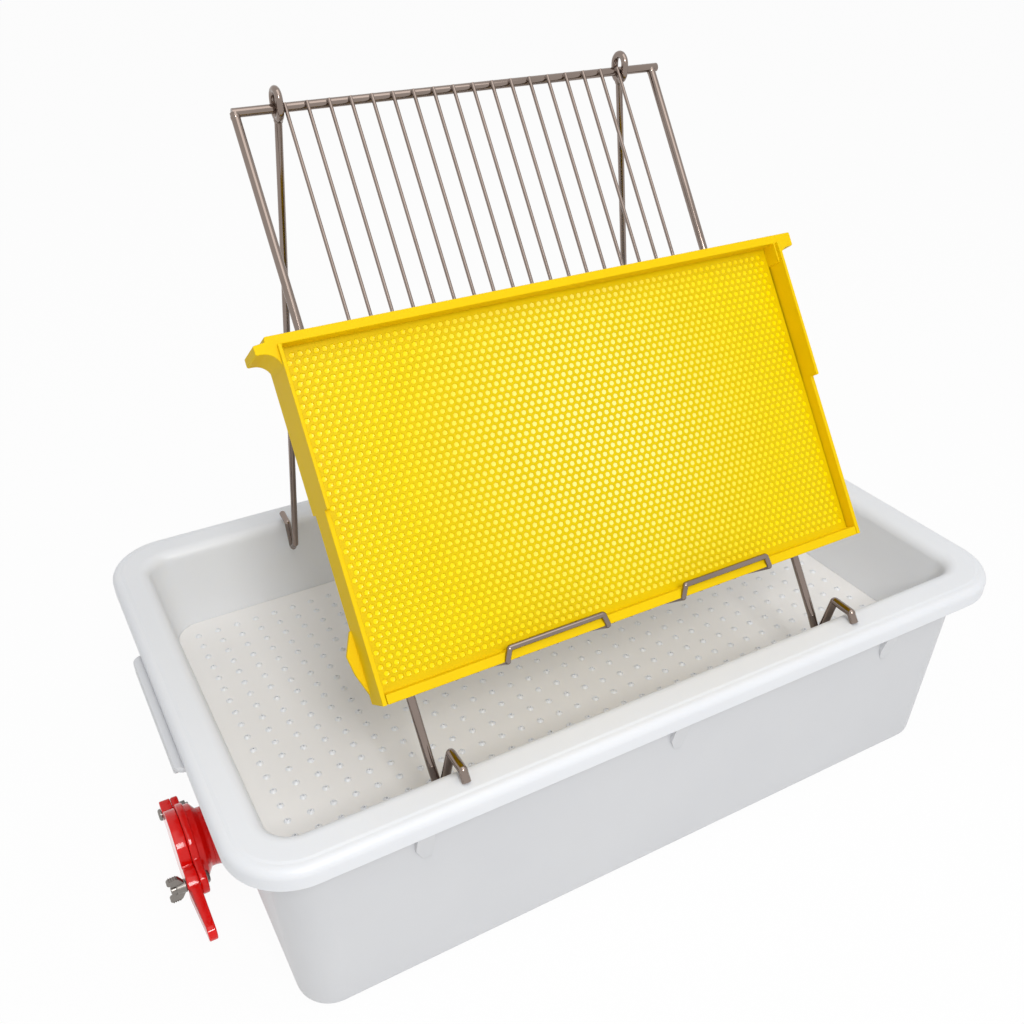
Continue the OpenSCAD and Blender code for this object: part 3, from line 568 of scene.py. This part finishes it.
gasket = ring([(0, GASKET_HOLE_R), (0, GASKET_R, 1.2), (GASKET_T, GASKET_R, 1.2),
               (GASKET_T, GASKET_HOLE_R)])
piece("gate_gasket_ring", gasket, rubber, "tank", "rubber", "gate_gasket")
seal = ring([(FACE_AT - SEAL_T, SEAL_HOLE_R, 0.5), (FACE_AT, SEAL_HOLE_R, 0.8),
             (FACE_AT, SEAL_R, 0.8), (FACE_AT - SEAL_T, SEAL_R, 0.5)])
piece("gate_seal_ring", seal, rubber, "tank", "rubber", "gate_seal")

# %% Eared plate and blade outlines
PLATE_AT, PLATE_T, PLATE_R = 27.5, 5.5, 29.0
BLADE_AT, BLADE_T, BLADE_R = 33.2, 8.0, 27.0
EAR_R, LOW_EAR_R, EAR_ROUND, BOLT_OFF = 8.0, 10.5, 4.5, 36.0
LEVER_HALF, LEVER_FROM, LEVER_END, LEVER_T, BOSS_R, SLOT_R = 6.6, 48.5, 87.0, 6.0, 11.0, 3.1
PLATE_EDGE, BLADE_EDGE, RIGHT_ANGLES = 1.3, 1.9, math.radians(60)
ear_tip = BOLT_OFF + EAR_R
upper_ear = [(EAR_R, ear_tip, EAR_ROUND), (-EAR_R, ear_tip, EAR_ROUND)]


def ear_corner(radius, half):
    """Angle at which an ear of this half width leaves a disc."""
    return math.degrees(math.acos(half / radius))


lean, low_side = ear_corner(PLATE_R, EAR_R), ear_corner(PLATE_R, LOW_EAR_R)
plate_outline = (arc((0, 0), PLATE_R, -low_side, lean, 24)
                 + upper_ear
                 + arc((0, 0), PLATE_R, 180 - lean, 180 + low_side, 24)
                 + arc((0, -BOLT_OFF), LOW_EAR_R, 180, 360, 14))
plate = thicken(flat(plate_outline), PLATE_T)
soften(plate, PLATE_EDGE, 3, RIGHT_ANGLES)
join(body, plate, GATE @ Matrix.Translation((0, 0, PLATE_AT)))
piece("gate_body_moulding", body, gate_red, "tank", "gate_red", "gate_body")

side_lean = ear_corner(BLADE_R, EAR_R)
low_lean = ear_corner(BLADE_R, LEVER_HALF)
boss_top = math.degrees(math.acos(LEVER_HALF / BOSS_R))
slot_lean = math.degrees(math.asin(SLOT_R / BOSS_R))
blade_outline = (arc((0, 0), BLADE_R, -low_lean, side_lean, 26)
                 + upper_ear
                 + arc((0, 0), BLADE_R, 180 - side_lean, 180 + low_lean, 26)
                 + arc((0, -BOLT_OFF), BOSS_R, 180 - boss_top, 180 - slot_lean, 4)
                 + arc((0, -BOLT_OFF), SLOT_R, 90, -90, 8)
                 + arc((0, -BOLT_OFF), BOSS_R, 180 + slot_lean, 180 + boss_top, 4)
                 + [(-LEVER_HALF, -LEVER_FROM)]
                 + arc((0, -LEVER_END + LEVER_HALF), LEVER_HALF, 180, 360, 12)
                 + [(LEVER_HALF, -LEVER_FROM)]
                 + arc((0, -BOLT_OFF), BOSS_R, -boss_top, boss_top, 8))
blade = thicken(flat(blade_outline), BLADE_T)
for v in blade.verts:
    if v.co.y < 0.1 - LEVER_FROM and v.co.z > BLADE_T / 2:
        v.co.z = LEVER_T
soften(blade, BLADE_EDGE, 3, RIGHT_ANGLES)
blade.transform(GATE @ Matrix.Translation((0, 0, BLADE_AT)))
piece("gate_blade_moulding", blade, gate_red, "gate_blade", "gate_red", "gate_blade")

# %% [markdown]
# ## Bolts and nuts
# A pan-head bolt is the pivot and its plain nut sits behind the plate. The
# clamp bolt comes from behind and takes the wing nut, whose two wings are cut
# outlines with rounded edges and a ribbed grip. The big nut inside the tank
# that locks the gate's tail is made by the same function as the small one.

# %% Bolts and nuts
HEAD_R, HEAD_H, HEAD_GAP, SHAFT_R, SOCKET_DEEP = 4.5, 2.4, 0.2, 2.5, 1.2
PIVOT_BACK, CLAMP_END, BOLT_STEPS = 21.5, 52.2, 24
NUT_ACROSS, NUT_T, NUT_HOLE_R = 8.0, 4.0, 2.55
LOCK_ACROSS, LOCK_AT, LOCK_T = 52.0, -16.98, 9.0
blade_end = BLADE_AT + BLADE_T
head_at = blade_end + HEAD_GAP
head_top = head_at + HEAD_H
pivot = ring([(PIVOT_BACK, 0), (PIVOT_BACK, SHAFT_R, 0.5), (head_at, SHAFT_R), (head_at, HEAD_R, 0.3),
              (head_top, HEAD_R, 1.6), (head_top, 1.4, 0.3), (head_top - SOCKET_DEEP, 1.2),
              (head_top - SOCKET_DEEP, 0)], BOLT_STEPS, (0, BOLT_OFF))
piece("pivot_bolt_turned", pivot, zinc, "tank", "zinc", "pivot_bolt")
clamp = ring([(PLATE_AT - HEAD_H, 0), (PLATE_AT - HEAD_H, HEAD_R, 2.0), (PLATE_AT, HEAD_R, 0.2),
              (PLATE_AT, SHAFT_R), (CLAMP_END, SHAFT_R, 0.6), (CLAMP_END, 0)],
             BOLT_STEPS, (0, -BOLT_OFF))
piece("clamp_bolt_turned", clamp, zinc, "tank", "zinc", "clamp_bolt")


def hex_nut(across, out, thick, hole_r, centre, turned=0):
    """A six-sided nut with rounded corners and a hole."""
    bm = bmesh.new()
    bmesh.ops.create_circle(bm, cap_ends=False, radius=across / 2 / math.cos(math.pi / 6), segments=6)
    bmesh.ops.subdivide_edges(bm, edges=bm.edges[:], cuts=3)
    outer = bm.edges[:]
    inner = bmesh.ops.create_circle(bm, cap_ends=False, radius=hole_r, segments=24)["verts"]
    inner_edges = [e for e in bm.edges if all(v in inner for v in e.verts)]
    bmesh.ops.bridge_loops(bm, edges=outer + inner_edges)
    thicken(bm, thick)
    soften(bm, thick * 0.09, 2, math.radians(50))
    bm.transform(GATE @ Matrix.Translation((centre[0], centre[1], out))
                 @ Matrix.Rotation(math.radians(turned), 4, "Z"))
    return bm


piece("pivot_nut_hex", hex_nut(NUT_ACROSS, PLATE_AT - NUT_T, NUT_T, NUT_HOLE_R, (0, BOLT_OFF)),
      zinc, "tank", "zinc", "pivot_nut")
piece("gate_lock_nut_hex", hex_nut(LOCK_ACROSS, LOCK_AT, LOCK_T, PAD_HOLE_R, (0, 0), 30),
      gate_red, "tank", "gate_red", "gate_lock_nut")

# %% Wing nut
WING_HUB_R, WING_HUB_H, WING_REACH, WING_T, WING_GAP = 4.75, 7.0, 10.5, 3.4, 0.3
WING_IN, WING_LOW, WING_TOP, WING_NECK = 3.2, 1.2, 12.5, 6.5
GRIPS, GRIP_R, GRIP_FROM, GRIP_STEP = 4, 0.45, 6.0, 1.5
wing_at = blade_end + WING_GAP
hub_top = wing_at + WING_HUB_H
wing = ring([(wing_at, NUT_HOLE_R), (wing_at, WING_HUB_R, 0.6), (hub_top, WING_HUB_R - 0.8, 0.8),
             (hub_top, NUT_HOLE_R)], BOLT_STEPS, (0, -BOLT_OFF))
for side in (-1, 1):
    blank = thicken(flat([
        (WING_IN, WING_LOW), (WING_HUB_R, WING_LOW), (WING_REACH, 4.5, 2), (WING_REACH, WING_TOP, 2),
        (WING_NECK, WING_TOP, 2), (WING_HUB_R - 1, WING_NECK), (WING_IN, WING_NECK)]), WING_T)
    soften(blank, 0.7)
    stand_up = Matrix.Translation((0, WING_T / 2, 0)) @ Matrix.Rotation(math.pi / 2, 4, "X")
    place = (GATE @ Matrix.Translation((0, -BOLT_OFF, wing_at))
             @ Matrix.Scale(side, 4, (1, 0, 0)) @ stand_up)
    join(wing, blank, place)
    for i in range(GRIPS):
        grip = bmesh.new()
        bmesh.ops.create_cone(grip, cap_ends=True, segments=8, radius1=GRIP_R, radius2=GRIP_R,
                              depth=WING_T + 0.5)
        at = Matrix.Translation((WING_REACH - 0.2, GRIP_FROM + i * GRIP_STEP, WING_T / 2))
        join(wing, grip, place @ at)
piece("wing_nut_cast", wing, zinc, "wing_nut", "zinc", "wing_nut")

# %% [markdown]
# ## Wires of the stand
# The stand is bent and welded from round wire. A curve with a round bevel is
# the natural way to draw a wire: the route is a list of corners, each corner
# becomes an arc of the bending tool's radius, and the curve is made a mesh at
# its place. Wire ends are cropped and rounded off.


# %% Wire helper
def bent(points, radius, steps=6):
    """Replace each corner of a route by an arc of the given radius."""
    route = [Vector(points[0])]
    for a, b, c in zip(points, points[1:], points[2:]):
        here, back, on = Vector(b), Vector(a) - Vector(b), Vector(c) - Vector(b)
        half = back.angle(on) / 2
        slide = radius / math.tan(half)
        middle = here + (back.normalized() + on.normalized()).normalized() * radius / math.sin(half)
        start, end = here + back.normalized() * slide, here + on.normalized() * slide
        for i in range(steps + 1):
            ray = (start - middle).slerp(end - middle, i / steps)
            route.append(middle + ray)
    route.append(Vector(points[-1]))
    return route


def wire(route, radius, sides=4, closed=False):
    """Sweep a round wire along a route and give it back as a bmesh."""
    curve = bpy.data.curves.new("wire", "CURVE")
    curve.dimensions = "3D"
    curve.bevel_depth = radius
    curve.bevel_resolution = sides
    curve.use_fill_caps = not closed
    spline = curve.splines.new("POLY")
    spline.points.add(len(route) - 1)
    for spot, p in zip(spline.points, route):
        spot.co = (*p, 1)
    spline.use_cyclic_u = closed
    holder = bpy.data.objects.new("wire", curve)
    mesh = bpy.data.meshes.new_from_object(holder)
    bm = bmesh.new()
    bm.from_mesh(mesh)
    bpy.data.objects.remove(holder)
    bpy.data.curves.remove(curve)
    bpy.data.meshes.remove(mesh)
    bmesh.ops.remove_doubles(bm, verts=bm.verts[:], dist=0.0005)
    rims = [e for f in bm.faces if len(f.verts) > 4 for e in f.edges]
    if rims:
        bmesh.ops.bevel(bm, geom=rims, offset=radius * 0.45, offset_type="OFFSET", affect="EDGES",
                        segments=2, profile=0.5, clamp_overlap=True, material=-1)
    return bm


def bead(at, radius):
    """A weld: a small ball where two wires meet."""
    bm = bmesh.new()
    bmesh.ops.create_icosphere(bm, subdivisions=2, radius=radius)
    bm.transform(Matrix.Translation(at))
    return bm


TOP_Y, TOP_Z = 94.0, 502.5
LEAN_Y, LEAN_Z = 0.576432, 0.817145


def on_panel(x, y, z):
    """A point of the sloped panel: x across, y up along it, z out of it."""
    return Vector((x, TOP_Y + y * LEAN_Y - z * LEAN_Z, TOP_Z + y * LEAN_Z + z * LEAN_Y))


print("panel leans", round(math.degrees(math.atan2(LEAN_Y, LEAN_Z)), 1), "degrees from upright")

# %% Cross rods, side rods and grid wires
ROD_R, WIRE_R, CROSS_R = 3.0, 1.25, 2.5
STAND_LOW, STAND_HIGH = -171.5, 141.5
TOP_ENDS, CROSS_ENDS = (-173.0, 146.5), (-168.8, 138.8)
top_rod = wire([Vector((x, TOP_Y, TOP_Z)) for x in TOP_ENDS], ROD_R)
piece("top_rod_wire", top_rod, steel, "stand", "stainless", "top_rod")
CROSS_Y, CROSS_OUT = -372.8, 0.5
cross = wire([on_panel(x, CROSS_Y, CROSS_OUT) for x in CROSS_ENDS], CROSS_R)
piece("lower_cross_rod_wire", cross, steel, "stand", "stainless", "lower_cross_rod")

KNEE_Y, KNEE_Z = -150.40, 156.0
FOOT_Z, FOOT_ASIDE, ARCH_Z, OVER_Y, TIP_Z = 136.0, 11.5, 175.5, -175.40, 165.3
KNEE_BEND, HOOK_BEND = 8.0, 5.0
for name, x in (("left_side_rod", STAND_LOW), ("right_side_rod", STAND_HIGH)):
    knee = Vector((x, KNEE_Y, KNEE_Z))
    hook = bent([knee, (x, KNEE_Y, FOOT_Z), (x + FOOT_ASIDE, KNEE_Y, FOOT_Z),
                 (x + FOOT_ASIDE, KNEE_Y, ARCH_Z), (x + FOOT_ASIDE, OVER_Y, ARCH_Z),
                 (x + FOOT_ASIDE, OVER_Y, TIP_Z)], HOOK_BEND)
    route = bent([Vector((x, TOP_Y, TOP_Z)), knee, hook[1]], KNEE_BEND)
    piece(name + "_wire", wire(route[:-1] + hook[1:], ROD_R), steel, "stand", "stainless", name)

WIRES, WIRE_PITCH, WIRE_MID, WIRE_OUT = 18, 14.7, -15.0, 3.95
WIRE_LOW, WIRE_TOP = -374.8, 1.0
wires_at = [WIRE_MID + (i - (WIRES - 1) / 2) * WIRE_PITCH for i in range(WIRES)]
grid = bmesh.new()
for x in wires_at:
    join(grid, wire([on_panel(x, WIRE_LOW, WIRE_OUT), on_panel(x, WIRE_TOP, WIRE_OUT)], WIRE_R, 3))
piece("grid_wires_drawn", grid, steel, "stand", "stainless", "grid_wires")

# %% Rests and weld beads
REST_R, REST_MID, REST_HALF = 2.0, (-78.4, 54.4), 36.5
REST_FROM, REST_OUT, REST_UP, REST_BEND = 2.7, 34.8, -360.5, 3.2
for name, mid in zip(("left_rest", "right_rest"), REST_MID):
    a, b = mid - REST_HALF, mid + REST_HALF
    route = bent([on_panel(a, CROSS_Y, REST_FROM), on_panel(a, CROSS_Y, REST_OUT),
                  on_panel(a, REST_UP, REST_OUT), on_panel(b, REST_UP, REST_OUT),
                  on_panel(b, CROSS_Y, REST_OUT), on_panel(b, CROSS_Y, REST_FROM)], REST_BEND)
    piece(name + "_wire", wire(route, REST_R), steel, "stand", "stainless", name)

TOP_BEAD, LOW_BEAD, ROD_BEAD, CROSS_BEAD = 1.7, 1.5, 3.3, 2.6
welds = bmesh.new()
for x in wires_at:
    join(welds, bead(on_panel(x, 0, 2.6), TOP_BEAD))
    join(welds, bead(on_panel(x, CROSS_Y, 2.4), LOW_BEAD))
for x in (STAND_LOW, STAND_HIGH):
    join(welds, bead(Vector((x, TOP_Y - 1.5, TOP_Z - 2.2)), ROD_BEAD))
    inward = math.copysign(2.4, WIRE_MID - x)
    join(welds, bead(on_panel(x + inward, CROSS_Y, 0.3), CROSS_BEAD))
piece("weld_beads", welds, steel, "stand", "stainless")

# %% [markdown]
# ## Folding legs
# Each back leg is one wire: an eye round the top rod, a long shaft, and a foot
# that hooks over the back rim. The eye is a closed slotted loop, drawn as its
# own wire, with a bead where the shaft is welded on.

# %% Legs
LEG_R, EYE_R, EYE_SLOT, LEG_FRONT = 2.5, 6.2, 5.0, 141.82
LEG_LOW, LEG_BACK, LEG_HOOK, LEG_TIP = 146.5, 150.32, 171.0, 165.32
LEG_KNEE, LEG_BEND = 155.0, 3.4
for name, x, foot_x in (("left_leg", -144.2, -158.7), ("right_leg", 114.2, 180.2)):
    loop = ([Vector((x, TOP_Y + y, TOP_Z + z)) for y, z in arc((0, 0), EYE_R, 180, 360, 14)]
            + [Vector((x, TOP_Y + y, TOP_Z + z)) for y, z in arc((0, EYE_SLOT), EYE_R, 0, 180, 14)])
    leg = wire(loop, LEG_R, 4, True)
    shaft_top = Vector((x, TOP_Y, TOP_Z - EYE_R))
    knee = Vector((foot_x, LEG_FRONT, LEG_KNEE))
    route = bent([shaft_top, knee, (foot_x, LEG_FRONT, LEG_LOW), (foot_x, LEG_BACK, LEG_LOW),
                  (foot_x, LEG_BACK, LEG_HOOK), (foot_x, LEG_TIP, LEG_HOOK)], LEG_BEND)
    join(leg, wire(route, LEG_R))
    join(leg, bead(shaft_top + Vector((0, 0, -0.8)), LEG_R + 0.6))
    piece(name + "_wire", leg, steel, name, "stainless", name)

# %% [markdown]
# ## Hive frame
# The frame is four thin bars moulded in one: a top bar that ends in two lugs,
# end bars that are deeper in their upper half so that frames keep their
# distance, and a bottom bar. Each lug has a round hollow under it, and a small
# fin stands out low on the left end bar. The shapes are outlines drawn flat on
# the panel and pulled through their depth. The end bars are drawn from their
# side instead, so that they can get thinner towards their edges.

# %% Frame bars
FRAME_X, FRAME_W, FRAME_H, FRAME_LOW, FRAME_MID = -10.5, 373.5, 223.0, -370.5, 20.5
BAR_T, RAIL_T, BAR_STEP, BAR_DRAFT = 4.0, 6.0, 118.0, 1.7
LOW_DEEP, UP_DEEP, TOP_DEEP = 24.0, 36.0, 30.0
LUG_LONG, LUG_T, HOLLOW_R = 400.5, 10.0, 10.0
LUG_OUT = (LUG_LONG - FRAME_W) / 2
PANEL = Matrix(((1, 0, 0, 0), (0, LEAN_Y, -LEAN_Z, TOP_Y), (0, LEAN_Z, LEAN_Y, TOP_Z), (0, 0, 0, 1)))
FRAME = PANEL @ Matrix.Translation((FRAME_X, FRAME_LOW, FRAME_MID))


def bar(points, depth, edge=0.7, mid=0.0):
    """An outline on the frame's middle plane, pulled to a depth."""
    bm = thicken(flat(points), depth)
    soften(bm, edge, 2, math.radians(50))
    bm.transform(Matrix.Translation((0, 0, mid - depth / 2)))
    return bm


SUNK, NOTCH, FIN_T = 0.8, 7.8, 3.0
half_w, lug_low = FRAME_W / 2, FRAME_H - LUG_T
inside, tip = half_w - BAR_T + SUNK, half_w + LUG_OUT
bars = bar([(-inside, 0), (inside, 0), (inside, RAIL_T), (-inside, RAIL_T)], LOW_DEEP - 0.02)
top = ([(-inside, FRAME_H - RAIL_T), (inside, FRAME_H - RAIL_T), (inside, lug_low - HOLLOW_R)]
       + [(half_w - SUNK, lug_low - HOLLOW_R)]
       + arc((half_w + HOLLOW_R, lug_low - HOLLOW_R), HOLLOW_R, 180, 90, 8)
       + [(tip, lug_low, 1.2), (tip, FRAME_H, 1.0), (-tip + NOTCH, FRAME_H, 0.8),
          (-tip + NOTCH - 0.8, FRAME_H - 3.2, 0.8), (-tip, FRAME_H - 4, 0.8), (-tip, lug_low, 1.2)]
       + arc((-half_w - HOLLOW_R, lug_low - HOLLOW_R), HOLLOW_R, 90, 0, 8)
       + [(-half_w + SUNK, lug_low - HOLLOW_R), (-inside, lug_low - HOLLOW_R)])
join(bars, bar(top, TOP_DEEP))
for side in (-1, 1):
    end = thicken(flat([
        (0, -LOW_DEEP / 2), (BAR_STEP, -LOW_DEEP / 2), (BAR_STEP, -UP_DEEP / 2, 0.8),
        (FRAME_H - RAIL_T, -UP_DEEP / 2, 0.8), (FRAME_H - RAIL_T, UP_DEEP / 2, 0.8),
        (BAR_STEP, UP_DEEP / 2, 0.8), (BAR_STEP, LOW_DEEP / 2), (0, LOW_DEEP / 2)]), BAR_T)
    for v in end.verts:
        if (v.co.z > BAR_T / 2) == (side < 0):
            v.co.z += side * BAR_DRAFT * abs(v.co.y) * 2 / UP_DEEP
    soften(end, 0.5, 2, math.radians(50))
    join(bars, end, Matrix.Translation((side * (half_w - BAR_T / 2) - BAR_T / 2, 0, 0)) @ Matrix(
        ((0, 0, 1, 0), (1, 0, 0, 0), (0, 1, 0, 0), (0, 0, 0, 1))))
fin = bar([(-half_w + SUNK, 46), (-half_w - 1, 46, 1), (-half_w - 7, 32, 3), (-half_w - 5, 20, 3),
           (-half_w, 6), (-half_w + SUNK, 6)], FIN_T, mid=-LOW_DEEP / 2 + 1.6)
join(bars, fin)
bars.transform(FRAME)
piece("hive_frame_bars", bars, frame_yellow, "comb", "comb_yellow", "comb_frame")

# %% [markdown]
# ## Comb foundation
# The sheet is embossed with the beginnings of worker cells, about five
# millimetres across, on both faces. One hexagon is repeated in a line, then
# two rows are repeated upwards, all with the spin operator's step vector.
# Insetting every cell leaves the ridge, a second inset slopes the wall, and a
# poke makes the pyramid at its bottom.

# %% Cells of the foundation
CELL = 5.12
ROW = CELL * math.sqrt(3) / 2
INNER_W, INNER_H = FRAME_W - 2 * BAR_T, FRAME_H - 2 * RAIL_T
SHEET_T, RIDGE, SLOPE, CELL_DEEP, PYRAMID = 7.0, 0.85, 0.4, 0.5, 0.35
# The second number places the centre of the painted highlight along the panel.
EDGE_IN, HIGHLIGHT_Y = 0.6, -250.0
across = math.ceil(INNER_W / CELL) + 2
rows = math.ceil(INNER_H / (2 * ROW)) + 1


def cell_sheet():
    """One face of the foundation, cells up, on its own flat plane."""
    bm = bmesh.new()
    bmesh.ops.create_circle(bm, cap_ends=True, radius=CELL / math.sqrt(3), segments=6)
    repeat(bm, (CELL, 0, 0), across)
    odd = bmesh.ops.duplicate(bm, geom=bm.faces[:])["geom"]
    bmesh.ops.translate(bm, verts=[g for g in odd if isinstance(g, bmesh.types.BMVert)],
                        vec=(CELL / 2, ROW, 0))
    repeat(bm, (0, 2 * ROW, 0), rows)
    bmesh.ops.remove_doubles(bm, verts=bm.verts[:], dist=0.01)
    bmesh.ops.translate(bm, verts=bm.verts[:], vec=(-CELL * across / 2, -ROW * 0.6, 0))
    side = INNER_W / 2 + EDGE_IN
    for point, normal in (((-side, 0, 0), (-1, 0, 0)), ((side, 0, 0), (1, 0, 0)),
                          ((0, -EDGE_IN, 0), (0, -1, 0)), ((0, INNER_H + EDGE_IN, 0), (0, 1, 0))):
        bmesh.ops.bisect_plane(bm, geom=bm.verts[:] + bm.edges[:] + bm.faces[:], plane_co=point,
                               plane_no=normal, clear_outer=True)
    bmesh.ops.recalc_face_normals(bm, faces=bm.faces[:])
    if bm.faces[:][0].normal.z < 0:
        bmesh.ops.reverse_faces(bm, faces=bm.faces[:])
    whole = [f for f in bm.faces if len(f.verts) == 6 and f.calc_area() > 0.9 * CELL * ROW]
    bmesh.ops.inset_individual(bm, faces=whole, thickness=RIDGE, depth=0)
    bmesh.ops.inset_individual(bm, faces=whole, thickness=SLOPE, depth=-CELL_DEEP)
    # The cell bottoms take the second finish, which carries the painted highlight.
    for f in whole:
        f.material_index = 1
    bmesh.ops.poke(bm, faces=whole, offset=-PYRAMID)
    return bm


# The painted highlight on the cell bottoms is centred on this point of the sheet.
cell_highlight_finish = painted_highlight_cells("cell_highlight_polystyrene", on_panel(0, HIGHLIGHT_Y, FRAME_MID) * MM)
for name, out in (("front", 1), ("back", -1)):
    sheet = cell_sheet()
    flip = Matrix.Identity(4) if out > 0 else Matrix.Rotation(math.pi, 4, "Y")
    sheet.transform(FRAME @ Matrix.Translation((0, RAIL_T, out * SHEET_T / 2)) @ flip)
    replaced = ("comb_foundation",) if out > 0 else ()
    cells = piece("comb_cells_" + name, sheet, cell_yellow, "comb", "comb_yellow", *replaced,
                  turn_out=False)
    cells.data.materials.append(cell_highlight_finish)
print("cells a row", across, "rows", 2 * rows)

# %% [markdown]
# ## Studio
# A plain pale floor and soft lamps. Floor and sky show white to the camera and
# in reflections, but light the object with less. A small part of the floor
# stays a lit surface, so that the shadow remains. A big overhead panel and the
# sky do most of the work, and a smaller panel from the front left gives the
# hard highlights on the gate and the cells.

# %% Floor
FLOOR_HALF, FLOOR_DROP, WHITE_SHARE = 40.0, 0.0005, 0.95


def seen_white(tree):
    """1 for the rays that show the background, 0 for those that light the object."""
    path = add(tree, "LightPath")
    eye = add(tree, "Math", {0: path.outputs["Is Camera Ray"], 1: path.outputs["Is Glossy Ray"]},
              operation="MAXIMUM")
    return add(tree, "Math", {0: eye.outputs[0], 1: path.outputs["Is Transmission Ray"]},
               operation="MAXIMUM").outputs[0]


floor_bm = bmesh.new()
bmesh.ops.create_grid(floor_bm, x_segments=8, y_segments=8, size=FLOOR_HALF)
floor_mesh = bpy.data.meshes.new("studio_floor")
floor_bm.to_mesh(floor_mesh)
floor_bm.free()
floor = bpy.data.objects.new("studio_floor", floor_mesh)
bpy.context.scene.collection.objects.link(floor)
floor.location.z = -FLOOR_DROP
paper = bpy.data.materials.new("white_paper_floor")
paper.use_nodes = True
tree = paper.node_tree
tree.nodes.clear()
share = add(tree, "Math", {0: seen_white(tree), 1: WHITE_SHARE}, operation="MULTIPLY")
lit = add(tree, "BsdfDiffuse", {"Color": colour("#F2F2F2")})
glow = add(tree, "Emission", {"Color": (1, 1, 1, 1), "Strength": 1.0})
both = add(tree, "MixShader", {0: share.outputs[0], 1: lit.outputs[0], 2: glow.outputs[0]})
add(tree, "OutputMaterial", {"Surface": both.outputs[0]})
floor_mesh.materials.append(paper)
print("floor", floor.name, "white share", WHITE_SHARE)

# %% Lamps and world
ROOM_LIGHT, AIM = 0.47, (0, 0, 0.2)


def soft_lamp(name, at, size, watts):
    """A square soft box that looks at the middle of the object."""
    data = bpy.data.lights.new(name, "AREA")
    data.size = size
    data.energy = watts
    lamp = bpy.data.objects.new(name, data)
    bpy.context.scene.collection.objects.link(lamp)
    look = (Vector(AIM) - Vector(at)).to_track_quat("-Z", "Y")
    lamp.matrix_world = Matrix.Translation(at) @ look.to_matrix().to_4x4()


soft_lamp("overhead_panel", (0.1, -0.6, 2.1), 1.6, 11)
soft_lamp("front_panel", (-0.3, -1.2, 1.3), 0.4, 11)
world = bpy.data.worlds.new("studio")
bpy.context.scene.world = world
world.use_nodes = True
sky = world.node_tree.nodes["Background"]
sky.inputs["Color"].default_value = (1, 1, 1, 1)
level = add(world.node_tree, "MapRange", {"Value": seen_white(world.node_tree), "To Min": ROOM_LIGHT})
world.node_tree.links.new(level.outputs["Result"], sky.inputs["Strength"])
bpy.context.scene.view_settings.view_transform = "Standard"
print("lamps 2")
